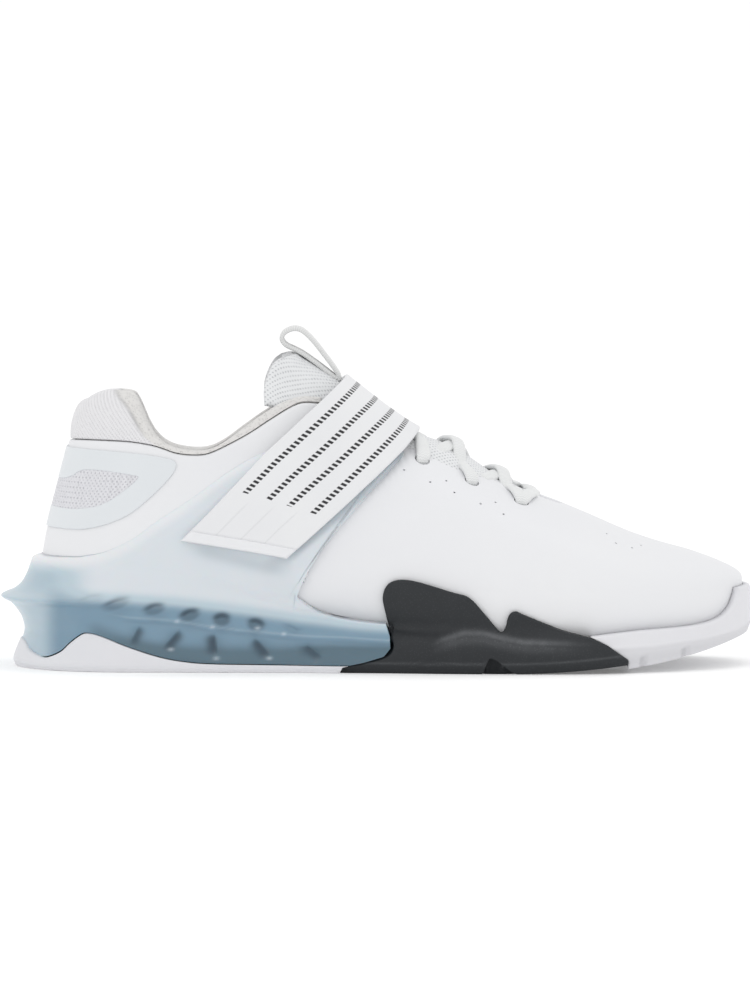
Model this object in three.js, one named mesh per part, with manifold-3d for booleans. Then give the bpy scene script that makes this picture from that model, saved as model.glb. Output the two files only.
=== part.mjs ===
// A weightlifting shoe for the right foot: a raised moulded heel wedge that grips the quarters, a
// rubber outsole in three pieces, a hollow upper with a padded collar, a tongue, laces and one strap.
// Millimetres, +X towards the toe, +Y towards the medial side, +Z up, standing on Z = 0.
import * as THREE from "three";
import { mergeVertices } from "three/addons/utils/BufferGeometryUtils.js";
import Module from "manifold-3d";

const wasm = await Module();
wasm.setup();

// Driving dimensions.
const SOLE_LENGTH = 302; // outsole, from the heel's edge to the toe
const FIN_REACH = 5.4; // the heel fin stands this far behind the outsole
const HEEL_SETBACK = 11.5; // from the outsole's heel edge forward to the back of the upper
const TOE_BUMPER = 3.3; // rubber in front of the upper's toe
const BALL_WIDTH = 104; // upper, across the ball of the foot
const COLLAR_HEIGHT = 116; // floor to the top of the heel collar
const CUP_HEIGHT = 49; // floor to the top of the wedge behind the heel
const HEEL_STACK = 31; // floor to the upper's underside at the heel
const FOREFOOT_STACK = 11; // floor to the upper's underside at the ball
const TOE_SPRING = 14; // lift of the outsole under the toe
const UPPER_WALL = 2.2;
const COLLAR_PAD = 6.5; // foam in the collar, on top of the lining
const LINING = 1.4;
const TONGUE_THICKNESS = 3.2;
const TONGUE_PAD = 3; // extra foam at the tongue's top
const INSOLE_THICKNESS = 3.5;
const GAP = 0.3; // between neighbouring pieces
const LASTING_MARGIN = 12; // upper turned in under the foot
const CAGE_WALL = 2.1; // wedge where it climbs the quarters
const WING_WALL = 1.9; // rubber where it climbs the upper
const COUNTER_WALL = 1;
const STRAP_THICKNESS = 1.9;
const STRAP_TIP_THICKNESS = 2.7;
const STRAP_TIP_LENGTH = 4.6;
const LACE_WIDTH = 5.6;
const LACE_THICKNESS = 2;
const LACE_SINK = 0.3; // share of its way over the tongue where a lace is out of sight
const LACE_LIFT = 1.6; // its middle over the upper
const LACE_ARCH = 4.4; // and how much higher two of them cross
const LACE_DIP = 0.12; // share over which it comes down to lie on the tongue there
const LACE_REST = 1.5 * GAP + LACE_THICKNESS / 2 - UPPER_WALL; // its middle over the last's surface then
const LACE_CREST = 0.3; // share of the way on each side of the crossing over which the arch comes down
const EYELET_RADIUS = 2.9;
const LOOP_WIDTH = 11;
const LOOP_THICKNESS = 1.9;
const LUG_DEPTH = 1.3;
const LAP = 1; // how far the two sides' halves of a piece reach over the middle

const HEEL_X = -(SOLE_LENGTH + FIN_REACH) / 2 + FIN_REACH;
const LAST_LENGTH = SOLE_LENGTH - HEEL_SETBACK - TOE_BUMPER;
const STRAP_LIFT = CAGE_WALL + 2 * GAP; // the strap runs over the cage
const WIDE = BALL_WIDTH * 1.2; // wider than any piece
const TALL = COLLAR_HEIGHT * 2; // taller than any piece

// The last. at: share of its length from the heel. lateral, medial: half widths at the widest line,
// measured from the ridge, and ridge: the ridge's shift to the medial side, as shares of BALL_WIDTH.
// top: height of the ridge, which closes over the ankle, and widest: height of the widest line, as
// shares of COLLAR_HEIGHT. bulge: exponent of the section, 2 for an ellipse and more for a box.
const LAST = [
  { at: 0.0, lateral: 0.322, medial: 0.322, ridge: 0.0, top: 1.03, widest: 0.36, bulge: 2.7 },
  { at: 0.06, lateral: 0.335, medial: 0.332, ridge: 0.0, top: 1.12, widest: 0.36, bulge: 2.6 },
  { at: 0.12, lateral: 0.342, medial: 0.336, ridge: 0.0, top: 1.21, widest: 0.36, bulge: 2.5 },
  { at: 0.22, lateral: 0.35, medial: 0.335, ridge: 0.0, top: 1.27, widest: 0.36, bulge: 2.3 },
  { at: 0.31, lateral: 0.365, medial: 0.325, ridge: 0.0, top: 1.21, widest: 0.35, bulge: 2.2 },
  { at: 0.37, lateral: 0.382, medial: 0.322, ridge: 0.002, top: 1.1, widest: 0.345, bulge: 2.1 },
  { at: 0.44, lateral: 0.408, medial: 0.325, ridge: 0.006, top: 0.955, widest: 0.33, bulge: 2.0 },
  { at: 0.51, lateral: 0.44, medial: 0.34, ridge: 0.013, top: 0.828, widest: 0.31, bulge: 2.0 },
  { at: 0.58, lateral: 0.475, medial: 0.368, ridge: 0.021, top: 0.748, widest: 0.29, bulge: 2.0 },
  { at: 0.65, lateral: 0.502, medial: 0.402, ridge: 0.03, top: 0.662, widest: 0.265, bulge: 2.05 },
  { at: 0.71, lateral: 0.516, medial: 0.43, ridge: 0.038, top: 0.603, widest: 0.25, bulge: 2.1 },
  { at: 0.77, lateral: 0.52, medial: 0.44, ridge: 0.046, top: 0.541, widest: 0.24, bulge: 2.15 },
  { at: 0.85, lateral: 0.508, medial: 0.432, ridge: 0.058, top: 0.456, widest: 0.235, bulge: 2.25 },
  { at: 0.93, lateral: 0.49, medial: 0.42, ridge: 0.07, top: 0.398, widest: 0.235, bulge: 2.35 },
  { at: 1.0, lateral: 0.47, medial: 0.405, ridge: 0.08, top: 0.362, widest: 0.235, bulge: 2.4 },
];
const HEEL_ROUND = 0.15; // share of the last over which its plan closes at the heel
const TOE_ROUND = 0.26; // and at the toe
const TOE_DROP = 0.09; // share of the last over which its top comes down at the toe
const HEEL_ROUNDNESS = 2.15;
const TOE_ROUNDNESS = 2.25;
const TUCK = 0.1; // how much narrower the feather edge is than the widest line

// How far the back of the heel leans forward at each height, both as shares of COLLAR_HEIGHT.
const HEEL_LEAN = [
  { up: 0.25, forward: 0.012 },
  { up: 0.36, forward: 0.0 },
  { up: 0.44, forward: 0.008 },
  { up: 0.52, forward: 0.026 },
  { up: 0.6, forward: 0.046 },
  { up: 0.71, forward: 0.075 },
  { up: 0.8, forward: 0.098 },
  { up: 0.86, forward: 0.108 },
  { up: 0.92, forward: 0.125 },
  { up: 0.97, forward: 0.16 },
  { up: 1.03, forward: 0.235 },
];
const LEAN_FADE = 0.3; // share of the last over which the lean dies out

// Height of the upper's underside: 1 is HEEL_STACK and 0 is FOREFOOT_STACK.
const SEAT = [
  { at: 0.0, raise: 1 },
  { at: 0.24, raise: 0.97 },
  { at: 0.4, raise: 0.66 },
  { at: 0.55, raise: 0.2 },
  { at: 0.66, raise: 0.02 },
  { at: 0.75, raise: 0.0 },
  { at: 1.0, raise: 0.0 },
];
const SPRING_FROM = 0.66; // share of SOLE_LENGTH where the outsole leaves the floor
const SEAT_SPRING = 0.6; // the upper's underside rises by this share of the spring

// The wedge's and the outsole's side. up: share of the wedge's local height. side, back: how far the
// face stands out from the last beside the heel and behind it, as shares of HEEL_SETBACK.
const WEDGE_SIDE = [
  { up: 0.0, side: 0.56, back: 0.95 },
  { up: 0.16, side: 0.5, back: 0.8 },
  { up: 0.3, side: 0.44, back: 0.64 },
  { up: 0.4, side: 0.45, back: 0.72 },
  { up: 0.47, side: 0.47, back: 0.9 },
  { up: 0.53, side: 0.45, back: 1.12 },
  { up: 0.585, side: 0.42, back: 1.47 },
  { up: 0.64, side: 0.38, back: 1.0 },
  { up: 0.7, side: 0.34, back: 0.72 },
  { up: 0.8, side: 0.28, back: 0.5 },
  { up: 0.92, side: 0.21, back: 0.34 },
  { up: 1.0, side: 0.19, back: 0.2 },
];
const OUTSOLE_LIP = 0.7; // the heel outsole stands proud of the wedge by this much
const OUTSOLE_SIDE = [
  { up: 0.0, side: 0.57, back: 0.92 },
  { up: 0.07, side: 0.62, back: 0.97 },
  { up: 0.3, side: 0.48, back: 0.62 },
  { up: 0.45, side: 0.46, back: 0.66 },
];
const BACK_REACH = 0.16; // share of the last over which the back's shape turns into the side's

// Height of the wedge's side along the shoe, as a share of CUP_HEIGHT.
const WEDGE_TOP = [
  { at: 0.0, top: 1.0 },
  { at: 0.16, top: 0.98 },
  { at: 0.26, top: 0.86 },
  { at: 0.34, top: 0.66 },
  { at: 0.42, top: 0.53 },
  { at: 0.58, top: 0.46 },
];

// The forefoot rubber's side. up: share of CUP_HEIGHT, out: millimetres per WING_WALL off the last.
const FOREFOOT_SIDE = [
  { up: 0.0, out: 1.5 },
  { up: 0.06, out: 2.3 },
  { up: 0.2, out: 2.5 },
  { up: 0.3, out: 2.0 },
  { up: 0.42, out: 1.15 },
];
const TOE_SIDE = [
  { up: 0.0, out: 0.62 },
  { up: 0.08, out: 0.95 },
  { up: 0.3, out: 1.0 },
  { up: 0.55, out: 0.94 },
];

// Outlines in the side view. at: share of SOLE_LENGTH from the outsole's heel.
// up: share of COLLAR_HEIGHT for the upper, of CUP_HEIGHT for the sole.
const UPPER_EDGE = [
  { at: -0.1, up: 0.79 },
  { at: 0.06, up: 0.797 },
  { at: 0.167, up: 0.8 },
  { at: 0.2, up: 0.782 },
  { at: 0.233, up: 0.763 },
  { at: 0.262, up: 0.772 },
  { at: 0.3, up: 0.82 },
  { at: 0.348, up: 0.897 },
  { at: 0.38, up: 0.947 },
  { at: 0.405, up: 0.963 },
  { at: 0.432, up: 0.95 },
];
const COLLAR_TOP = [
  { at: -0.1, up: 1.0 },
  { at: 0.075, up: 0.985 },
  { at: 0.12, up: 0.98 },
  { at: 0.148, up: 0.98 },
  { at: 0.166, up: 0.935 },
  { at: 0.19, up: 0.845 },
  { at: 0.213, up: 0.797 },
  { at: 0.241, up: 0.78 },
  { at: 0.27, up: 0.795 },
  { at: 0.305, up: 0.846 },
  { at: 0.345, up: 0.925 },
  { at: 0.4, up: 1.02 },
];
const TOPLINE_TILT = 0.037; // the upper's edge and the collar fall this much towards the medial side
const LINING_DEPTH = 0.24; // lining below the upper's edge, as a share of COLLAR_HEIGHT
const COLLAR_FRONT = { at: 0.345, lean: 0.05 }; // where the collar meets the tongue

const THROAT = [
  { at: 0.4, half: 0.215 },
  { at: 0.44, half: 0.205 },
  { at: 0.5, half: 0.186 },
  { at: 0.57, half: 0.16 },
  { at: 0.64, half: 0.133 },
  { at: 0.69, half: 0.112 },
  { at: 0.722, half: 0.085 },
  { at: 0.738, half: 0.05 },
  { at: 0.744, half: 0.012 },
];
const THROAT_FLOOR = 0.42; // the throat is cut above this share of COLLAR_HEIGHT

const TONGUE_TOP = [
  { at: 0.45, up: 1.2 },
  { at: 0.392, up: 1.14 },
  { at: 0.375, up: 1.124 },
  { at: 0.363, up: 1.108 },
  { at: 0.35, up: 1.06 },
  { at: 0.342, up: 1.0 },
  { at: 0.342, up: 0.94 },
];
const TONGUE_UNDER = [
  { at: 0.342, up: 0.94 },
  { at: 0.375, up: 0.855 },
  { at: 0.44, up: 0.745 },
  { at: 0.53, up: 0.64 },
  { at: 0.62, up: 0.555 },
  { at: 0.7, up: 0.495 },
  { at: 0.775, up: 0.46 },
];
const TONGUE_END = 0.778;

const CAGE = [
  { at: -0.08, up: 0.425 },
  { at: 0.08, up: 0.432 },
  { at: 0.13, up: 0.447 },
  { at: 0.185, up: 0.516 },
  { at: 0.253, up: 0.64 },
  { at: 0.3, up: 0.725 },
  { at: 0.345, up: 0.785 },
  { at: 0.42, up: 0.83 },
  { at: 0.475, up: 0.81 },
  { at: 0.49, up: 0.75 },
  { at: 0.456, up: 0.604 },
  { at: 0.415, up: 0.415 },
  { at: 0.389, up: 0.29 },
  { at: 0.384, up: 0.26 },
  { at: 0.392, up: 0.236 },
  { at: 0.42, up: 0.222 },
  { at: 0.52, up: 0.192 },
];
const COUNTER = [
  { at: -0.08, up: 0.49 },
  { at: 0.045, up: 0.494 },
  { at: 0.1, up: 0.497 },
  { at: 0.15, up: 0.54 },
  { at: 0.183, up: 0.604 },
  { at: 0.214, up: 0.685 },
  { at: 0.221, up: 0.733 },
  { at: 0.2, up: 0.753 },
  { at: 0.15, up: 0.768 },
  { at: 0.07, up: 0.775 },
  { at: -0.08, up: 0.775 },
];
const COUNTER_WINDOW = [
  { at: -0.08, up: 0.655 },
  { at: 0.06, up: 0.663 },
  { at: 0.1, up: 0.702 },
  { at: 0.16, up: 0.69 },
  { at: 0.168, up: 0.672 },
  { at: 0.127, up: 0.591 },
  { at: 0.09, up: 0.566 },
  { at: 0.05, up: 0.566 },
  { at: -0.08, up: 0.575 },
];
// The strap's centre line runs from low to high, and its width is square to that. Its ends are cut
// on the slant: slant is how much further the front edge goes, as a share of the width.
const STRAP_WIDTH = 37.5;
const STRAP_LINE = { low: { at: 0.303, up: 0.44 }, high: { at: 0.5, up: 0.94 } };
const STRAP_REACH = 5; // strap widths from an end to past the ridge
const STRAP_END = {
  lateral: { start: 0, slant: 0.7 },
  medial: { start: -0.22, slant: 0.52 },
};

const WAVE = [
  { at: -0.06, up: 0.2 },
  { at: 0.013, up: 0.2 },
  { at: 0.043, up: 0.126 },
  { at: 0.07, up: 0.225 },
  { at: 0.099, up: 0.332 },
  { at: 0.137, up: 0.25 },
  { at: 0.171, up: 0.165 },
  { at: 0.213, up: 0.1 },
  { at: 0.262, up: 0.07 },
  { at: 0.331, up: 0.066 },
  { at: 0.444, up: 0.06 },
];
// Back edge of the forefoot rubber, bottom to top, and its top edge on each side.
const RUBBER_BACK = [
  { at: 0.444, up: 0.05 },
  { at: 0.48, up: 0.09 },
  { at: 0.507, up: 0.142 },
  { at: 0.516, up: 0.212 },
  { at: 0.515, up: 0.302 },
];
const RUBBER_TOP = {
  lateral: [
    [{ at: 0.515, up: 0.302 }, { at: 0.505, up: 0.508 }, { at: 0.501, up: 0.655 },
      { at: 0.512, up: 0.76 }, { at: 0.54, up: 0.772 }, { at: 0.594, up: 0.68 },
      { at: 0.617, up: 0.636 }, { at: 0.637, up: 0.51 }, { at: 0.661, up: 0.353 }],
    [{ at: 0.661, up: 0.353 }, { at: 0.668, up: 0.42 }, { at: 0.676, up: 0.5 },
      { at: 0.69, up: 0.5 }, { at: 0.74, up: 0.378 }, { at: 0.778, up: 0.308 }],
  ],
  medial: [
    [{ at: 0.515, up: 0.302 }, { at: 0.51, up: 0.46 }, { at: 0.525, up: 0.56 },
      { at: 0.57, up: 0.54 }, { at: 0.64, up: 0.42 }, { at: 0.7, up: 0.35 },
      { at: 0.778, up: 0.308 }],
  ],
};
const RUBBER_FRONT = [
  { at: 0.778, up: 0.308 },
  { at: 0.8, up: 0.236 },
  { at: 0.828, up: 0.106 },
];
const TOE_TOP = [
  { at: 0.778, up: 0.308 },
  { at: 0.843, up: 0.35 },
  { at: 0.92, up: 0.377 },
  { at: 0.955, up: 0.425 },
  { at: 0.972, up: 0.515 },
  { at: 0.98, up: 0.63 },
  { at: 0.986, up: 0.665 },
  { at: 1.05, up: 0.665 },
];
const SOLE_NOTCH = { from: 0.634, to: 0.684, peak: 0.652, height: 0.145 };
const HEEL_LUGS = [0.06, 0.105, 0.15, 0.195, 0.24, 0.285];
const BALL_LUGS = [0.56, 0.6, 0.73, 0.775];
const TOE_LUGS = [0.852, 0.908, 0.955];
const LUG_WIDTH = 3;

const EYELETS = [
  { at: 0.432, up: 0.875 },
  { at: 0.49, up: 0.803 },
  { at: 0.554, up: 0.736 },
  { at: 0.621, up: 0.661 },
  { at: 0.688, up: 0.59 },
];
const HIDDEN_LACES = 2; // crossings that the strap presses flat
const PULL_LOOP = [
  { at: 0.438, up: 1.025 },
  { at: 0.436, up: 1.045 },
  { at: 0.42, up: 1.102 },
  { at: 0.406, up: 1.148 },
  { at: 0.392, up: 1.182 },
  { at: 0.38, up: 1.19 },
  { at: 0.368, up: 1.176 },
  { at: 0.364, up: 1.15 },
  { at: 0.3715, up: 1.13 },
];

// Grid of the last: stations along it, and steps up one side of a section.
const STATIONS = 28;
const LOW_STEPS = 1;
const HIGH_STEPS = 7;
const LACE_STEPS = 6;
const SEAM = 1e-3; // vertices closer than this are one

// Small maths.
const clamp = (value, low, high) => Math.min(Math.max(value, low), high);
const mix = (from, to, share) => from + (to - from) * share;
function smoothstep(from, to, value) {
  const t = clamp((value - from) / (to - from), 0, 1);
  return t * t * (3 - 2 * t);
}

// The smooth curve through one column of a table, read at a value of its key column.
function follow(rows, column, value, key = "at") {
  const last = rows.length - 1;
  if (value <= rows[0][key]) return rows[0][column];
  if (value >= rows[last][key]) return rows[last][column];
  const i = rows.findIndex((row) => row[key] > value) - 1;
  const slope = (k) => {
    const before = rows[Math.max(k - 1, 0)];
    const after = rows[Math.min(k + 1, last)];
    return (after[column] - before[column]) / (after[key] - before[key]);
  };
  const span = rows[i + 1][key] - rows[i][key];
  const t = (value - rows[i][key]) / span;
  const [a, b] = [rows[i][column], rows[i + 1][column]];
  const bend = (1 - t) * (slope(i) * span - (b - a)) - t * (slope(i + 1) * span - (b - a));
  return a + (b - a) * t + t * (1 - t) * bend;
}

// The quarter of a superellipse that closes an end: 1 at its start and 0 at the tip.
function roundEnd(share, exponent) {
  const t = clamp(share, 0, 1);
  return Math.pow(1 - Math.pow(t, exponent), 1 / exponent);
}

// Places in the shoe.
const soleX = (at) => HEEL_X + at * SOLE_LENGTH;
const lastX = (at) => HEEL_X + HEEL_SETBACK + at * LAST_LENGTH;
const lastAt = (x) => (x - HEEL_X - HEEL_SETBACK) / LAST_LENGTH;
function spring(x) {
  const from = soleX(SPRING_FROM);
  const t = Math.max(x - from, 0) / (soleX(1) - from);
  return TOE_SPRING * t * t;
}
function seat(at) {
  const raise = follow(SEAT, "raise", at);
  return mix(FOREFOOT_STACK, HEEL_STACK, raise) + SEAT_SPRING * spring(lastX(at));
}
function lean(z, at) {
  const forward = follow(HEEL_LEAN, "forward", z / COLLAR_HEIGHT, "up");
  return forward * COLLAR_HEIGHT * (1 - smoothstep(0, LEAN_FADE, at));
}

// One station of the last.
function station(at) {
  const closing =
    roundEnd(1 - at / HEEL_ROUND, HEEL_ROUNDNESS) *
    roundEnd((at - 1 + TOE_ROUND) / TOE_ROUND, TOE_ROUNDNESS);
  const widest = follow(LAST, "widest", at) * COLLAR_HEIGHT + SEAT_SPRING * spring(lastX(at));
  const top = follow(LAST, "top", at) * COLLAR_HEIGHT;
  return {
    ridge: follow(LAST, "ridge", at) * BALL_WIDTH,
    lateral: follow(LAST, "lateral", at) * BALL_WIDTH * closing,
    medial: follow(LAST, "medial", at) * BALL_WIDTH * closing,
    seat: seat(at),
    widest,
    top: widest + (top - widest) * roundEnd((at - 1 + TOE_DROP) / TOE_DROP, 2.2),
    bulge: follow(LAST, "bulge", at),
  };
}

// Half width of the last at a place in the side view, measured from the middle plane.
function halfWidth(x, z, side) {
  let at = lastAt(x);
  for (let pass = 0; pass < 4; pass += 1) at = lastAt(x - lean(z, at));
  const s = station(clamp(at, 0, 1));
  const width = side < 0 ? s.lateral : s.medial;
  const rise = clamp((z - s.widest) / (s.top - s.widest), 0, 1);
  return width * Math.pow(1 - Math.pow(rise, s.bulge), 1 / s.bulge) + side * s.ridge;
}

// Solids from meshes.
function solid(geometry) {
  const bare = new THREE.BufferGeometry();
  bare.setAttribute("position", geometry.getAttribute("position"));
  if (geometry.index) bare.setIndex(geometry.index);
  const merged = mergeVertices(bare, SEAM);
  const corners = merged.index.array;
  const faces = [];
  for (let i = 0; i < corners.length; i += 3) {
    const [a, b, c] = [corners[i], corners[i + 1], corners[i + 2]];
    if (a !== b && b !== c && c !== a) faces.push(a, b, c);
  }
  const vertProperties = merged.attributes.position.array;
  return new wasm.Manifold(
    new wasm.Mesh({ numProp: 3, vertProperties, triVerts: new Uint32Array(faces) }),
  );
}

function indexed(points, faces) {
  const geometry = new THREE.BufferGeometry().setFromPoints(points);
  geometry.setIndex(faces);
  return mergeVertices(geometry, SEAM);
}

// One section of the last: up the lateral side, over the ridge and down the medial side.
function section(at) {
  const s = station(at);
  const half = (side) => {
    const width = side < 0 ? s.lateral : s.medial;
    const points = [];
    for (let k = 0; k < LOW_STEPS; k += 1) {
      const t = 1 - k / LOW_STEPS;
      const z = mix(s.widest, s.seat, t);
      points.push([s.ridge + side * width * (1 - TUCK * t * t), z]);
    }
    for (let k = 0; k <= HIGH_STEPS; k += 1) {
      const turn = (k / HIGH_STEPS) * (Math.PI / 2);
      const out = Math.pow(Math.max(Math.cos(turn), 0), 2 / s.bulge);
      const rise = Math.pow(Math.sin(turn), 2 / s.bulge);
      points.push([s.ridge + side * width * (k === HIGH_STEPS ? 0 : out), mix(s.widest, s.top, rise)]);
    }
    return points;
  };
  const ring = [...half(-1), ...half(1).reverse().slice(1)];
  return ring.map(([y, z]) => new THREE.Vector3(lastX(at) + lean(z, at), y, z));
}

// Stations crowd towards the heel and the toe, where the plan turns.
function stationAt(share) {
  return mix(share, (1 - Math.cos(Math.PI * share)) / 2, 0.72);
}

// The last as a closed surface, and the same surface grown by a distance, or by a function of place.
function lastSurface() {
  const rings = [];
  for (let i = 0; i <= STATIONS; i += 1) rings.push(section(stationAt(i / STATIONS)));
  const across = rings[0].length;
  const faces = [];
  for (let i = 0; i < STATIONS; i += 1) {
    for (let j = 0; j < across; j += 1) {
      const next = (j + 1) % across;
      const [a, b] = [i * across + j, i * across + next];
      const [c, d] = [a + across, b + across];
      faces.push(a, c, b, b, c, d);
    }
  }
  const surface = indexed(rings.flat(), faces);
  surface.computeVertexNormals();
  return surface;
}
const surface = lastSurface();

function grown(distance) {
  const places = surface.attributes.position;
  const normals = surface.attributes.normal;
  const far = typeof distance === "function" ? distance : () => distance;
  const moved = [];
  for (let i = 0; i < places.count; i += 1) {
    const place = new THREE.Vector3().fromBufferAttribute(places, i);
    const normal = new THREE.Vector3().fromBufferAttribute(normals, i);
    moved.push(place.addScaledVector(normal, far(place.clone())));
  }
  const geometry = new THREE.BufferGeometry().setFromPoints(moved);
  geometry.setIndex(surface.index);
  return solid(geometry);
}

// A solid through a stack of closed rings with the same number of points.
function loft(rings) {
  const across = rings[0].length;
  const faces = [];
  for (let i = 0; i + 1 < rings.length; i += 1) {
    for (let j = 0; j < across; j += 1) {
      const next = (j + 1) % across;
      const [a, b] = [i * across + j, i * across + next];
      faces.push(a, b, a + across, b, b + across, a + across);
    }
  }
  const flat = (ring) => ring.map((p) => new THREE.Vector2(p.x, p.y));
  const top = (rings.length - 1) * across;
  for (const [a, b, c] of THREE.ShapeUtils.triangulateShape(flat(rings[0]), [])) {
    faces.push(a, c, b);
    faces.push(top + a, top + b, top + c);
  }
  return solid(indexed(rings.flat(), faces));
}

// Outlines in the side view: a smooth line through the rows of a table, or of several joined at corners.
const upperUp = (row) => new THREE.Vector2(soleX(row.at), row.up * COLLAR_HEIGHT);
const soleUp = (row) => new THREE.Vector2(soleX(row.at), row.up * CUP_HEIGHT);
function line(rows, place, steps = 2) {
  return new THREE.SplineCurve(rows.map(place)).getPoints((rows.length - 1) * steps);
}

// The outline drawn square through the shoe, or through one side of it, moved by a small shift.
// tilt: how much it falls for each millimetre towards the medial side, from the collar's lateral edge.
function prism(points, { from = -WIDE, to = WIDE, dx = 0, dz = 0, tilt = 0 } = {}) {
  const outline = points.map((p) => new THREE.Vector2(p.x + dx, p.y + dz));
  const shape = new THREE.Shape(outline);
  const geometry = new THREE.ExtrudeGeometry(shape, { depth: to - from, bevelEnabled: false });
  geometry.rotateX(Math.PI / 2);
  geometry.translate(0, to, 0);
  const places = geometry.attributes.position;
  const edge = -LAST[4].lateral * BALL_WIDTH;
  for (let i = 0; i < places.count; i += 1) {
    places.setZ(i, places.getZ(i) - tilt * (places.getY(i) - edge));
  }
  return solid(geometry);
}
const corner = (x, z) => new THREE.Vector2(x, z);
const above = (points, shift) =>
  prism([corner(points[0].x, TALL), ...points, corner(points.at(-1).x, TALL)], shift);
const below = (points, shift) =>
  prism([...points, corner(points.at(-1).x, -TALL), corner(points[0].x, -TALL)], shift);

// The upper's underside in the side view, raised by a distance.
function seatLine(rise) {
  const points = [];
  for (let step = -1; step <= 21; step += 1) {
    const at = step / 20;
    points.push(corner(lastX(at), seat(clamp(at, 0, 1)) + rise));
  }
  return points;
}

// The plan outline of the last at its widest line, pushed out by a function of place and side.
const PLAN_STEPS = 28;
function planRing(outset, height) {
  const edge = (share) => {
    const along = share <= 1 ? share : 2 - share;
    const side = share <= 1 ? -1 : 1;
    const at = stationAt(along);
    const s = station(at);
    const width = side < 0 ? s.lateral : s.medial;
    return { at, side, x: lastX(at), y: s.ridge + side * width };
  };
  const ring = [];
  for (let i = 0; i < 2 * PLAN_STEPS; i += 1) {
    const share = i / PLAN_STEPS;
    const small = 0.25 / PLAN_STEPS;
    const [here, before, after] = [edge(share), edge((share - small + 2) % 2), edge(share + small)];
    const along = new THREE.Vector2(after.x - before.x, after.y - before.y).normalize();
    const out = outset(here.at, here.side);
    const x = here.x + along.y * out;
    const y = here.y - along.x * out;
    ring.push(new THREE.Vector3(x, y, height(x, here.at)));
  }
  return ring;
}

// The side of the sole at one row of a side table: beside the heel, behind it, and between.
function heelOutset(row, proud = 0) {
  return (at) => mix(row.back, row.side, smoothstep(0, BACK_REACH, at)) * HEEL_SETBACK + proud;
}
const wedgeHeight = (at) => follow(WEDGE_TOP, "top", at) * CUP_HEIGHT;

// Regions shared by neighbouring sole pieces.
const wave = line(WAVE, soleUp, 3);
function rubberOutline(side) {
  const top = RUBBER_TOP[side].flatMap((run) => line(run, soleUp).slice(1));
  return [
    corner(soleX(RUBBER_BACK[0].at), -TALL),
    ...line(RUBBER_BACK, soleUp),
    ...top,
    ...line(RUBBER_FRONT, soleUp).slice(1),
    corner(soleX(RUBBER_FRONT.at(-1).at), -TALL),
  ];
}
function rubberRegion(shift = {}) {
  return prism(rubberOutline("lateral"), { ...shift, to: LAP })
    .add(prism(rubberOutline("medial"), { ...shift, from: -LAP }));
}
function toeRegion() {
  const front = line(RUBBER_FRONT, soleUp).reverse();
  return prism(
    [
      corner(front[0].x, -TALL),
      ...front,
      ...line(TOE_TOP, soleUp).slice(1),
      corner(soleX(TOE_TOP.at(-1).at), -TALL),
    ],
    { dx: GAP },
  );
}

// Straight grooves across the tread.
function grooves(places) {
  return places
    .map((at) => {
      const x = soleX(at);
      const roof = spring(x) + LUG_DEPTH;
      const half = LUG_WIDTH / 2;
      const mouth = half + LUG_DEPTH / 2;
      return prism([corner(x - mouth, -TALL), corner(x - mouth, spring(x - mouth) - GAP),
        corner(x - half, roof), corner(x + half, roof),
        corner(x + mouth, spring(x + mouth) - GAP), corner(x + mouth, -TALL)]);
    })
    .reduce((all, groove) => all.add(groove));
}

// The tread's plane: flat under the heel and the ball, and rising under the toe.
function groundLine() {
  const points = [corner(-SOLE_LENGTH, 0)];
  for (let step = 0; step <= 10; step += 1) {
    const x = soleX(mix(SPRING_FROM, 1.03, step / 10));
    points.push(corner(x, spring(x)));
  }
  return points;
}
const ground = above(groundLine());
const lastClear = grown(GAP);

// A sole's body through the rows of a side table, started a little under the floor.
function soleBody(rows, outset, height) {
  const under = { ...rows[0], up: -0.1 };
  return loft([under, ...rows].map((row) => planRing(outset(row), (x, at) => height(row, x, at))))
    .intersect(ground);
}
const fromFloor = (row, x) => spring(x) + row.up * CUP_HEIGHT;

// The white outsole under the heel, with a wave along the top of its wall.
function heelOutsole() {
  return soleBody(OUTSOLE_SIDE, (row) => heelOutset(row, OUTSOLE_LIP), fromFloor)
    .intersect(below(wave))
    .subtract(rubberRegion({ dx: -GAP }))
    .subtract(prism([corner(soleX(0.46), -TALL), corner(soleX(1.2), -TALL),
      corner(soleX(1.2), TALL), corner(soleX(0.46), TALL)]))
    .subtract(grooves(HEEL_LUGS));
}

// The wedge under the heel, with the fin behind it and the cage up both quarters.
function heelWedge() {
  const cageOutline = [...line(CAGE, upperUp), corner(soleX(0.52), 0), corner(soleX(-0.08), 0)];
  const cage = grown(GAP + CAGE_WALL).intersect(prism(cageOutline));
  return soleBody(WEDGE_SIDE, heelOutset, (row, x, at) => row.up * wedgeHeight(at))
    .add(cage)
    .subtract(below(wave, { dz: GAP }))
    .subtract(rubberRegion({ dx: -GAP }))
    .subtract(prism([corner(soleX(0.52), -TALL), corner(soleX(1.2), -TALL),
      corner(soleX(1.2), TALL), corner(soleX(0.52), TALL)]))
    .subtract(lastClear);
}

// The dark rubber under the ball, with its wings.
function forefootOutsole() {
  const notch = SOLE_NOTCH;
  const notchRoof = notch.height * CUP_HEIGHT;
  const flexNotch = prism([
    corner(soleX(notch.from), -TALL), corner(soleX(notch.from), 0.5 * notchRoof),
    corner(soleX(notch.peak), notchRoof), corner(soleX(notch.to), -GAP),
    corner(soleX(notch.to), -TALL),
  ]);
  return soleBody(FOREFOOT_SIDE, (row) => () => row.out * WING_WALL, fromFloor)
    .add(grown(GAP + WING_WALL))
    .intersect(rubberRegion())
    .subtract(lastClear)
    .subtract(flexNotch)
    .subtract(grooves(BALL_LUGS));
}

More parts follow.
